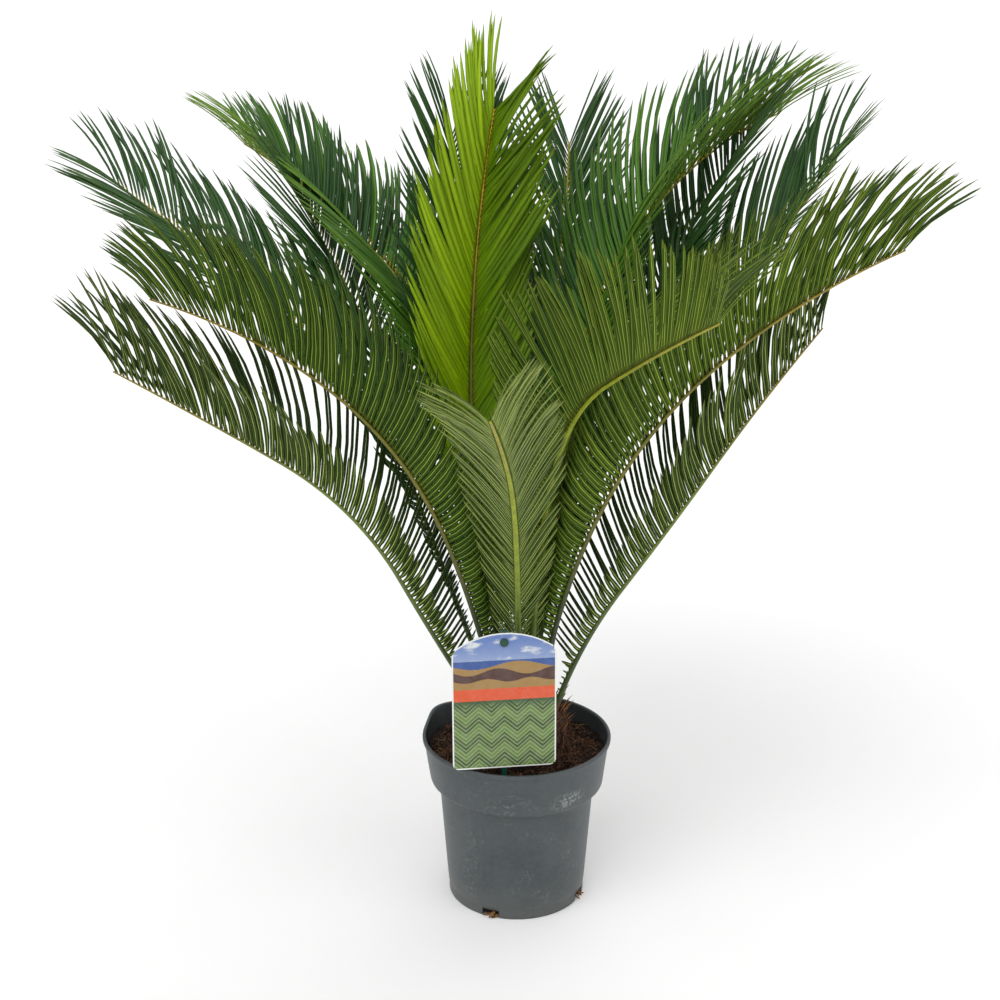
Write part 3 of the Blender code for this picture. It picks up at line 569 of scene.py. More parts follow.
class NodeTree:
    """A short hand for adding nodes to a material's or a group's tree and joining them."""

    def __init__(self, tree: bpy.types.NodeTree) -> None:
        """Keeps the tree."""
        self.tree = tree

    def feed(self, node: Node, values: dict) -> Node:
        """Sets a node's inputs.

        Args:
            node: the node.
            values: an input's name or number, and either the value it takes or the output that feeds it.

        Returns:
            The node.
        """
        for name, value in values.items():
            if isinstance(value, Output):
                self.tree.links.new(value, node.inputs[name])
            else:
                node.inputs[name].default_value = value
        return node

    def add(self, kind: str, values: dict | None = None, **settings: object) -> Node:
        """Adds a node.

        Args:
            kind: the node's type.
            values: what its inputs take, as in feed.
            settings: the node's own settings, by name.

        Returns:
            The node.
        """
        node = self.tree.nodes.new(kind)
        for name, value in settings.items():
            setattr(node, name, value)
        return self.feed(node, values or {})

    def effect(self, effect: Effect, values: dict) -> Node:
        """Adds a node that runs one of the shared groups."""
        return self.add("ShaderNodeGroup", values, node_tree=EFFECTS.group(effect))

    def mottled(self, colour: object, second: object, scale: float, amount: float) -> Node:
        """Adds the group that blends a second colour in by noise of a scale, up to an amount."""
        values = {"Color": colour, "Second Color": second, "Scale": scale, "Amount": amount}
        return self.effect(Effect.MOTTLE, values)

    def maths(self, operation: str, first: object, second: object = 0.0, clamp: bool = False) -> Output:
        """Adds a Math node.

        Args:
            operation: what it does.
            first: its first input.
            second: its second input.
            clamp: whether its result stays between 0 and 1.

        Returns:
            Its output.
        """
        node = self.add("ShaderNodeMath", {0: first, 1: second}, operation=operation, use_clamp=clamp)
        return node.outputs[0]

    def times(self, first: object, second: object, clamp: bool = False) -> Output:
        """The product of two values."""
        return self.maths("MULTIPLY", first, second, clamp)

    def plus(self, first: object, second: object) -> Output:
        """The sum of two values."""
        return self.maths("ADD", first, second)

    def mixed(self, share: object, first: object, second: object, blend: str = "MIX") -> Output:
        """A share of a second colour blended into the first."""
        node = self.add("ShaderNodeMix", {0: share, 6: first, 7: second}, data_type="RGBA", blend_type=blend)
        return node.outputs[2]

    def stretched(self, value: object, low: float, high: float) -> Output:
        """A value turned smoothly into 0 at low and 1 at high."""
        values = {"Value": value, "From Min": low, "From Max": high}
        return self.add("ShaderNodeMapRange", values, interpolation_type="SMOOTHSTEP").outputs["Result"]

    def place(self) -> Output:
        """Object coordinates."""
        return self.add("ShaderNodeTexCoord").outputs["Object"]

    def map_places(self) -> tuple[Output, Output]:
        """Reads a surface's map.

        Returns:
            The place across and the place along.
        """
        chart = self.add("ShaderNodeUVMap", uv_map=MAP_NAME).outputs["UV"]
        axes = self.add("ShaderNodeSeparateXYZ", {0: chart})
        return axes.outputs["X"], axes.outputs["Y"]

    def noise(self, scale: object, detail: float, place: Output | None = None) -> Output:
        """The grey of a Noise Texture on a place, or on Object coordinates if none is given."""
        values = {"Vector": place or self.place(), "Scale": scale, "Detail": detail}
        return self.add("ShaderNodeTexNoise", values).outputs["Fac"]


class Effects:
    """Builds each shader group once, the first time that it is asked for."""

    def __init__(self) -> None:
        """Starts with no group built."""
        self.built: dict[Effect, bpy.types.ShaderNodeTree] = {}

    def group(self, effect: Effect) -> bpy.types.ShaderNodeTree:
        """The group of an effect.

        Args:
            effect: which effect.

        Returns:
            Its group.
        """
        if effect not in self.built:
            getattr(self, effect.value)()
        return self.built[effect]

    def start(
        self, effect: Effect, inputs: tuple[str, ...], outputs: tuple[str, ...]
    ) -> tuple[NodeTree, dict[str, Output], Node]:
        """Starts a group with its named sockets: those whose names end in Color are colours.

        Args:
            effect: which group.
            inputs: names of its inputs.
            outputs: names of its outputs.

        Returns:
            Its tree, its inputs by name and its output node.
        """
        group = bpy.data.node_groups.new(effect.value, "ShaderNodeTree")
        for way, names in (("INPUT", inputs), ("OUTPUT", outputs)):
            for name in names:
                kind = "NodeSocketColor" if name.endswith("Color") else "NodeSocketFloat"
                group.interface.new_socket(name, in_out=way, socket_type=kind)
        self.built[effect] = group
        tree = NodeTree(group)
        given = tree.add("NodeGroupInput").outputs
        return tree, {name: given[name] for name in inputs}, tree.add("NodeGroupOutput")

    def mottle(self) -> None:
        """Builds the group that blends a second colour in by noise on Object coordinates."""
        inputs = ("Color", "Second Color", "Scale", "Amount")
        tree, given, out = self.start(Effect.MOTTLE, inputs, ("Color", "Mask"))
        mask = tree.stretched(tree.noise(given["Scale"], 5.0), 0.38, 0.66)
        share = tree.times(mask, given["Amount"], True)
        tree.feed(out, {"Color": tree.mixed(share, given["Color"], given["Second Color"]), "Mask": mask})

    def leaf_skin(self) -> None:
        """Builds the leaflets' group.

        It gives each leaflet its own tint, which also carries the painted shade of a row's first leaflets,
        and fine lines along its middle and its edges, where the upper side's darker edges are painted shade.
        It adds a dry tip, faint mottling and fine ridges.
        """
        inputs = ("Color", "Line Color", "Edge Color", "Tint", "Lines", "Dry Tip")
        tree, given, out = self.start(Effect.LEAF_SKIN, inputs, ("Color", "Height", "Roughness"))
        across, along = tree.map_places()
        own = tree.add("ShaderNodeAttribute", attribute_name=TINT_NAME).outputs["Fac"]
        off_middle = tree.maths("ABSOLUTE", tree.maths("SUBTRACT", across, 0.5))
        line = tree.times(tree.stretched(off_middle, 0.13, 0.03), given["Lines"])
        edge = tree.times(tree.stretched(off_middle, 0.30, 0.48), given["Lines"])
        lined = tree.mixed(line, given["Color"], given["Line Color"])
        lined = tree.mixed(edge, lined, given["Edge Color"])
        dark = tree.mixed(1.0, lined, (0.58, 0.64, 0.66, 1.0), "MULTIPLY")
        light = tree.mixed(1.0, lined, (1.36, 1.27, 1.12, 1.0), "MULTIPLY")
        toned = tree.mixed(given["Tint"], lined, tree.mixed(own, dark, light))
        blotch = tree.stretched(tree.noise(55.0, 4.0), 0.35, 0.75)
        toned = tree.mixed(tree.times(blotch, 0.22), toned, dark)
        tip = tree.times(tree.stretched(along, 0.93, 1.0), given["Dry Tip"])
        ridges = 7
        tree.feed(out, {
            "Color": tree.mixed(tip, toned, tone(96, 84, 40)),
            "Height": tree.maths("SINE", tree.times(across, TURN * ridges)),
            "Roughness": tree.plus(0.38, tree.times(blotch, 0.16)),
        })

    def fibres(self) -> None:
        """Builds the group of fine upright fibres: noise on Object coordinates that is drawn out along Z."""
        tree, given, out = self.start(Effect.FIBRES, ("Color", "Dark Color", "Scale"), ("Color", "Height"))
        drawn = tree.add("ShaderNodeMapping", {"Vector": tree.place(), "Scale": (1.0, 1.0, 0.12)}).outputs[0]
        grey = tree.noise(given["Scale"], 5.0, drawn)
        colour = tree.mixed(tree.stretched(grey, 0.36, 0.62), given["Dark Color"], given["Color"])
        tree.feed(out, {"Color": colour, "Height": grey})

    def scuffs(self) -> None:
        """Builds the group of scratches on plastic: thin slanting lines, broken up by a wider noise."""
        tree, given, out = self.start(Effect.SCUFFS, ("Scale", "Amount"), ("Mask", "Height"))
        lines = []
        for number, turn in enumerate(((0.3, 0.5, 0.2), (-0.4, 0.2, 0.9))):
            values = {"Rotation": turn, "Scale": (0.10, 1.0, 1.0), "Location": (number, 0.0, 0.0)}
            drawn = tree.add("ShaderNodeMapping", {"Vector": tree.place()} | values).outputs[0]
            lines.append(tree.stretched(tree.noise(tree.times(given["Scale"], 6.0), 2.0, drawn), 0.70, 0.80))
        scratch = tree.maths("MAXIMUM", *lines)
        patch = tree.stretched(tree.noise(given["Scale"], 4.0), 0.50, 0.72)
        rubbed = tree.stretched(tree.noise(tree.times(given["Scale"], 9.0), 4.0), 0.45, 0.75)
        rubbed = tree.times(rubbed, tree.times(patch, 0.6))
        mask = tree.times(tree.plus(rubbed, tree.times(scratch, 0.35)), given["Amount"], True)
        tree.feed(out, {"Mask": mask, "Height": tree.times(scratch, -1.0)})


EFFECTS = Effects()


class Paint(NodeTree):
    """A material's tree with its Principled shader."""

    def __init__(self, name: str, roughness: float, specular: float = 0.5) -> None:
        """Makes the material.

        Args:
            name: its name.
            roughness: the shader's roughness.
            specular: the shader's specular level.
        """
        self.made = bpy.data.materials.new(name)
        self.made.use_nodes = True
        super().__init__(self.made.node_tree)
        self.shader = self.tree.nodes["Principled BSDF"]
        self.feed(self.shader, {"Roughness": roughness, "Specular IOR Level": specular})

    def shade(self, colour: Output, roughness: Output | None = None) -> None:
        """Feeds the shader's colour, and its roughness if one is given."""
        self.feed(self.shader, {"Base Color": colour} | ({"Roughness": roughness} if roughness else {}))

    def bump(self, height: Output, distance: float, strength: float) -> None:
        """Feeds a height into the shader's normal, with the metres that a height of 1 stands."""
        bump = self.add("ShaderNodeBump", {"Height": height, "Distance": distance, "Strength": strength})
        self.feed(self.shader, {"Normal": bump.outputs["Normal"]})


@dataclass(frozen=True)
class LeafFinish:
    """Skin of a row of leaflets: a material each for its upper side, underside, margin, midrib and root."""

    colours: LeafTone
    tint: float = 0.85
    bump: float = 0.00012

    def materials(self) -> list[Material]:
        """Makes the five materials once and hands them out again after that.

        Returns:
            The materials in the order of the leaflets' material numbers.
        """
        made = []
        upper, under, margin, midrib, root = self.colours.value
        # Painted shade: the upper side darkens to this copy of its colour towards its edges, where the
        # margins roll under.
        shade = tuple(0.45 * channel for channel in upper[:3]) + (1.0,)
        sides = (
            ("upper", upper, margin, shade, 0.5, 0.30, 0.7),
            ("under", under, midrib, margin, 0.5, 0.12, 0.5),
            ("margin", margin, margin, margin, 0.0, 0.12, 0.3),
            ("midrib", midrib, midrib, midrib, 0.0, 0.12, 0.3),
            ("root", root, root, root, 0.0, 0.12, 0.0),
        )
        for side, colour, line, edge, lines, specular, dry in sides:
            name = f"leaf_{self.colours.name.lower()}_{side}"
            if name not in bpy.data.materials:
                paint = Paint(name, 0.45, specular)
                values = {"Color": colour, "Line Color": line, "Edge Color": edge}
                values |= {"Tint": self.tint, "Lines": lines, "Dry Tip": dry}
                skin = paint.effect(Effect.LEAF_SKIN, values).outputs
                paint.shade(skin["Color"], skin["Roughness"])
                paint.bump(skin["Height"], self.bump, 0.5)
            made.append(bpy.data.materials[name])
        return made


@dataclass(frozen=True)
class RibFinish:
    """Skin of a rib: its colour runs from foot to middle to tip, with faint fibres along it."""

    colours: RibTone
    wool: Colour = tone(112, 74, 44)

    def material(self) -> Material:
        """Makes the material once and hands it out again after that.

        Returns:
            The material.
        """
        name = f"rib_{self.colours.name.lower()}"
        if name not in bpy.data.materials:
            paint = Paint(name, 0.42)
            _, along = paint.map_places()
            foot, middle, tip = self.colours.value
            lower = paint.mixed(paint.stretched(along, 0.12, 0.50), foot, middle)
            colour = paint.mixed(paint.stretched(along, 0.55, 0.95), lower, tip)
            dark = paint.mixed(1.0, colour, (0.62, 0.66, 0.55, 1.0), "MULTIPLY")
            blend = paint.mottled(colour, dark, 120.0, 0.7)
            paint.shade(paint.mixed(paint.stretched(along, 0.045, 0.012), blend.outputs["Color"], self.wool))
            paint.bump(paint.noise(700.0, 2.0), 0.0003, 0.35)
        return bpy.data.materials[name]


@dataclass
class Crown:
    """The seventeen fronds: their ribs, their leaflets and the short spines on their petioles."""

    first_seed: int = 100
    gap: float = 0.0003
    petiole_share: float = 0.12
    spine_steps: int = 60
    leaflet_spacing: float = 0.0053
    stagger: float = 0.22
    spacing_jitter: float = 0.12
    crowding: float = 0.98
    longest: float = 1.05
    shaded_share: float = 0.7
    tint_spread: float = 0.22
    length_fall_power: float = 4.0
    half_width: float = 0.0025
    thickness: float = 0.0006
    length_jitter: float = 0.035
    angle_jitter: float = 1.2
    angle_drift: float = 3.0
    raise_jitter: float = 1.5
    raise_drift: float = 3.6
    drift_span: int = 6
    lead: float = 0.15
    lead_jitter: float = 0.03
    open_rise: float = 0.14
    open_fall: float = -0.19
    curl_rise: float = -0.30
    curl_fall: float = 0.95
    curl_shrink: float = 0.45
    curl_places: tuple[float, ...] = (0.0, 0.22, 0.55)
    curl_shares: tuple[float, ...] = (1.0, 0.85, 0.0)
    bend_jitter: float = 0.03
    slim_places: tuple[float, ...] = (0.0, 0.1, 0.6, 0.85, 1.0)
    slim_shares: tuple[float, ...] = (0.72, 0.94, 1.0, 0.8, 0.5)
    fold: float = 0.25
    roll: float = 9.0
    roll_jitter: float = 5.0
    seat: float = 0.62
    rib_root: float = 0.0046
    rib_neck: float = 0.0036
    rib_tip: float = 0.0010
    rib_stations: int = 72
    rib_sides: int = 14
    spines: int = 6
    spine_length: float = 0.0065
    spine_half_width: float = 0.0008
    spine_angle: float = 66.0
    spine_lift: float = 34.0

    def heading(self, plan: FrondPlan, shares: np.ndarray) -> tuple[np.ndarray, np.ndarray]:
        """Azimuth and lean of a frond's rib, in radians, at shares of its length."""
        lean = np.interp(shares, np.linspace(0.0, 1.0, len(plan.leans)), plan.leans)
        return np.radians(plan.azimuth + plan.swing * shares), np.radians(lean)

    def along(self, plan: FrondPlan, shares: np.ndarray) -> np.ndarray:
        """The rib's directions at shares of its length."""
        azimuth, lean = self.heading(plan, shares)
        return outward(azimuth) * np.sin(lean)[:, None] + UP * np.cos(lean)[:, None]

    def line(self, plan: FrondPlan) -> np.ndarray:
        """Points along a frond's rib: even steps, each along the rib's azimuth and lean at its middle.

        Args:
            plan: the frond.

        Returns:
            The (steps + 1, 3) points from its ledge on the trunk to its tip.
        """
        radius, ledge = plan.ledge.value
        root = math.radians(plan.root)
        start = np.array([TRUNK_X + radius * math.cos(root), radius * math.sin(root), ledge + self.gap])
        ways = self.along(plan, (np.arange(self.spine_steps) + 0.5) / self.spine_steps)
        steps = np.cumsum(ways * plan.length / self.spine_steps, axis=0)
        return np.concatenate([start[None], start + steps])

    def rib_frame(self, plan: FrondPlan, shares: np.ndarray) -> tuple[np.ndarray, ...]:
        """The rib's places and axes at shares of its length.

        Args:
            plan: the frond.
            shares: shares of its length.

        Returns:
            Its places, ways along, upper sides (towards the plant's middle) and left sides.
        """
        line = self.line(plan)
        spots = np.clip(shares, 0.0, 1.0) * self.spine_steps
        steps = np.arange(len(line))
        place = np.stack([np.interp(spots, steps, line[:, axis]) for axis in range(3)], axis=-1)
        azimuth, lean = self.heading(plan, shares)
        along = self.along(plan, shares)
        upper = UP * np.sin(lean)[:, None] - outward(azimuth) * np.cos(lean)[:, None]
        return place, along, upper, np.cross(upper, along)

    def rib_radius(self, shares: np.ndarray) -> np.ndarray:
        """Half width of the rib: swollen at its foot, then tapering evenly to its tip."""
        swell = (self.rib_root - self.rib_neck) * np.exp(-shares / 0.05)
        return self.rib_neck + (self.rib_tip - self.rib_neck) * shares ** 0.9 + swell

    def leaflet_share(self, share: np.ndarray, row: RowPlan) -> np.ndarray:
        """Length of a leaflet as a share of the longest one.

        It rises as a power of a quarter sine wave from the blade's foot to its longest place, and it falls
        late, as another power.

        Args:
            share: places along the blade, 0 to 1.
            row: the row's plan.

        Returns:
            The shares.
        """
        rise = np.sin(np.pi / 2 * np.minimum(share / row.peak, 1.0)) ** row.power
        fall = np.clip((share - row.peak) / (1.0 - row.peak), 0.0, 1.0) ** self.length_fall_power
        rising = row.first + (1.0 - row.first) * rise
        return np.where(share < row.peak, rising, 1.0 - (1.0 - row.last) * fall)

    def row(self, plan: FrondPlan, side: int, chance: np.random.Generator) -> Surface:
        """One row of leaflets on a frond.

        A leaflet's angle to the rib and its lift change along the blade as the row's plan says. The first
        ones are short and curled towards the rib's upper side, and the last ones slim. Neighbours drift
        together in angle, and each is rolled a little so that it lies over the next.

        Args:
            plan: the frond.
            side: 1 for the left row, -1 for the right row.
            chance: the frond's own random numbers.

        Returns:
            The row's surface.
        """
        row = plan.left if side > 0 else plan.right
        count = int(round(plan.length * (1.0 - self.petiole_share) / (self.leaflet_spacing * plan.spacing)))
        jitter = chance.uniform(-self.spacing_jitter, self.spacing_jitter, count)
        blade = (np.arange(count) + 0.5 + self.stagger * side + jitter) / count
        blade = np.clip(blade, 0.0, 1.0) ** self.crowding
        shares = self.petiole_share + blade * (1.0 - self.petiole_share)
        loose = 0.25 + 1.25 * blade ** 2

        def varied(usual: np.ndarray, spread: float, swing: float) -> np.ndarray:
            """Usual values with a random spread and a drift that grows towards the tip."""
            own = usual + chance.normal(0.0, spread, count)
            return own + loose * swing * drift(count, chance, self.drift_span)

        angle = varied(np.interp(blade, [0.0, 0.5, 1.0], row.angles), self.angle_jitter, self.angle_drift)
        lift = varied(row.lift[0] + (row.lift[1] - row.lift[0]) * blade, self.raise_jitter, self.raise_drift)
        length = plan.leaflet * self.longest * self.leaflet_share(blade, row)
        length = length * (1.0 + chance.normal(0.0, self.length_jitter, count))
        blades = self.blades(plan, shares, side, angle, lift, length)
        blades.half_width = self.half_width * row.broad * np.interp(blade, self.slim_places, self.slim_shares)
        # Painted shade: a row's first leaflets are darkened by the row's shade, standing in for the shade
        # deep in the crown.
        shade = row.shade * np.clip(1.0 - blade / self.shaded_share, 0.0, 1.0)
        blades.tint = np.clip(0.5 - shade + self.tint_spread * chance.normal(size=count), 0.0, 1.0)
        bend = self.bend_jitter * drift(count, chance, self.drift_span)
        curl = row.curl * np.interp(blade, self.curl_places, self.curl_shares)
        blades.rise = self.open_rise + (self.curl_rise - self.open_rise) * curl - bend
        blades.fall = self.open_fall + (self.curl_fall - self.open_fall) * curl + bend
        blades.shrink = self.curl_shrink * curl
        lead_drift = self.lead_jitter * drift(count, chance, self.drift_span)
        blades.lead = self.lead * (1.0 - 0.6 * blade) + lead_drift
        blades.fold = self.fold * plan.relief
        blades.widths = blades.widths[:-3] + plan.tips.value
        roll = plan.relief * (self.roll + chance.normal(0.0, self.roll_jitter, count))
        return blades.rolled(side * np.radians(roll)).surface()

    def blades(
        self, plan: FrondPlan, shares: np.ndarray, side: int, angle: np.ndarray, lift: np.ndarray,
        length: np.ndarray,
    ) -> Blades:
        """Blades that leave one side of a rib.

        Args:
            plan: the frond.
            shares: their places along the rib.
            side: 1 for the left side, -1 for the right side.
            angle: their angles to the rib, in degrees.
            lift: how far each is raised towards the rib's upper side, in degrees.
            length: their lengths.

        Returns:
            The blades.
        """
        place, along, upper, left = self.rib_frame(plan, shares)
        raised = np.radians(lift)[:, None]
        opened = np.radians(angle)[:, None]
        out = left * (side * np.cos(raised)) + upper * np.sin(raised)
        face = upper * np.cos(raised) - left * (side * np.sin(raised))
        way = along * np.cos(opened) + out * np.sin(opened)
        forward = along * np.sin(opened) - out * np.cos(opened)
        start = place + out * (self.rib_radius(shares) * self.seat)[:, None]
        sizes = (np.full(len(shares), size) for size in (self.half_width, self.thickness, 0.5))
        return Blades(start, way, forward * side, face, forward, length, *sizes)

    def petiole_spines(self, plan: FrondPlan, side: int) -> Surface:
        """The short spines on one side of a petiole, longer towards the blade.

        Args:
            plan: the frond.
            side: 1 for the left side, -1 for the right side.

        Returns:
            Their surface.
        """
        shares = np.linspace(0.045, self.petiole_share * 0.97, self.spines)
        length = self.spine_length * np.linspace(0.5, 1.6, self.spines)
        ones = np.ones(self.spines)
        blades = self.blades(plan, shares, side, ones * self.spine_angle, ones * self.spine_lift, length)
        blades.half_width = blades.thickness = ones * self.spine_half_width
        return blades.surface()

    def rib(self, plan: FrondPlan) -> Piece:
        """One frond's rib: a section with a round back and a grooved front, carried along its line.

        Args:
            plan: the frond.

        Returns:
            The rib's object.
        """
        shares = np.linspace(0.0, 1.0, self.rib_stations) ** 1.25
        place, _, upper, left = self.rib_frame(plan, shares)
        turn = TURN * np.arange(self.rib_sides) / self.rib_sides
        height = np.sin(turn)
        grooved = height * (0.62 - 0.16 * np.exp(-(np.cos(turn) / 0.3) ** 2))
        section = np.stack([np.cos(turn), np.where(height > 0.0, grooved, height * 0.9)], axis=-1)
        radius = self.rib_radius(shares)
        made = tube(place, left, upper, section, np.stack([radius, radius], axis=-1))
        made.run[:, 1] = np.append(np.repeat(shares, self.rib_sides), [0.0, 1.0])
        return made.object(f"{plan.name}_rib", [RibFinish(plan.rib).material()])

    def leaflets(self, plan: FrondPlan, number: int) -> Piece:
        """One frond's leaflets, both rows and the petiole's spines in one piece.

        Args:
            plan: the frond.
            number: its place in the list, which seeds its random numbers.

        Returns:
            The leaflets' object.
        """
        chance = np.random.default_rng(self.first_seed + number)
        left = Surface.joined([self.row(plan, 1, chance), self.petiole_spines(plan, 1)])
        right = Surface.joined([self.row(plan, -1, chance), self.petiole_spines(plan, -1)])
        materials = LeafFinish(plan.left.tone).materials()
        if plan.right.tone is not plan.left.tone:
            right.kinds = right.kinds + len(materials)
            materials = materials + LeafFinish(plan.right.tone).materials()
        return Surface.joined([left, right]).object(f"{plan.name}_leaflets", materials)

    def build(self) -> list[Piece]:
        """Builds every frond in place of its solid.

        Returns:
            All the pieces.
        """
        made = []
        for number, plan in enumerate(FROND_PLANS):
            leaflets = self.leaflets(plan, number)
            rib = self.rib(plan)
            for piece in (leaflets, rib):
                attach(piece, "root")
                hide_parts(plan.name)
                made.append(piece)
        return made


@dataclass(frozen=True)
class PotFinish:
    """Slate-grey moulded plastic, dulled by dust, with scuffs, pale rubbed marks and a green smear."""

    base: Colour = tone(70, 76, 79)
    second: Colour = tone(60, 67, 71)
    scuffed: Colour = tone(150, 154, 150)
    green: Colour = tone(58, 84, 72)
    dust: Colour = tone(108, 108, 100)

    def spot(self, paint: Paint, centre: Colour, scale: Colour) -> Output:
        """A soft mask round one place on the pot.

        Args:
            paint: the material.
            centre: the spot's middle, in metres.
            scale: one over the spot's reach along each axis.

        Returns:
            The mask, 1 in the spot's middle and 0 outside it.
        """
        place = paint.place()
        for operation, value in (("SUBTRACT", centre), ("MULTIPLY", scale)):
            place = paint.add("ShaderNodeVectorMath", {0: place, 1: value}, operation=operation).outputs[0]
        length = paint.add("ShaderNodeVectorMath", {0: place}, operation="LENGTH").outputs["Value"]
        return paint.stretched(length, 1.0, 0.1)

    def material(self) -> Material:
        """Makes the pot's material.

        Returns:
            The material.
        """
        paint = Paint("pot_plastic_scuffed", 0.5, 0.4)
        height = paint.add("ShaderNodeSeparateXYZ", {0: paint.place()}).outputs["Z"]
        foot_dust = paint.times(paint.stretched(height, 0.05, 0.0), paint.noise(90.0, 6.0))
        scuffs = paint.effect(Effect.SCUFFS, {"Scale": 30.0, "Amount": 0.5}).outputs
        rubbed = self.spot(paint, (0.052, -0.075, 0.138), (36.0, 36.0, 70.0))
        rubbed = paint.times(rubbed, paint.stretched(paint.noise(320.0, 4.0), 0.42, 0.62))
        smear = self.spot(paint, (0.036, -0.085, 0.150), (60.0, 60.0, 36.0))
        smear = paint.times(smear, paint.stretched(paint.noise(60.0, 3.0), 0.35, 0.7))
        colour = paint.mottled(self.base, self.second, 22.0, 0.9).outputs["Color"]
        colour = paint.mottled(colour, self.dust, 260.0, 0.10).outputs["Color"]
        colour = paint.mixed(paint.times(foot_dust, 0.55), colour, self.dust)
        colour = paint.mixed(scuffs["Mask"], colour, self.scuffed)
        colour = paint.mixed(paint.times(rubbed, 0.75), colour, self.scuffed)
        colour = paint.mixed(paint.times(smear, 0.5), colour, self.green)
        paint.shade(colour, paint.plus(0.42, paint.times(scuffs["Mask"], 0.35)))
        paint.bump(paint.plus(paint.noise(900.0, 2.0), scuffs["Height"]), 0.0002, 0.25)
        return paint.made


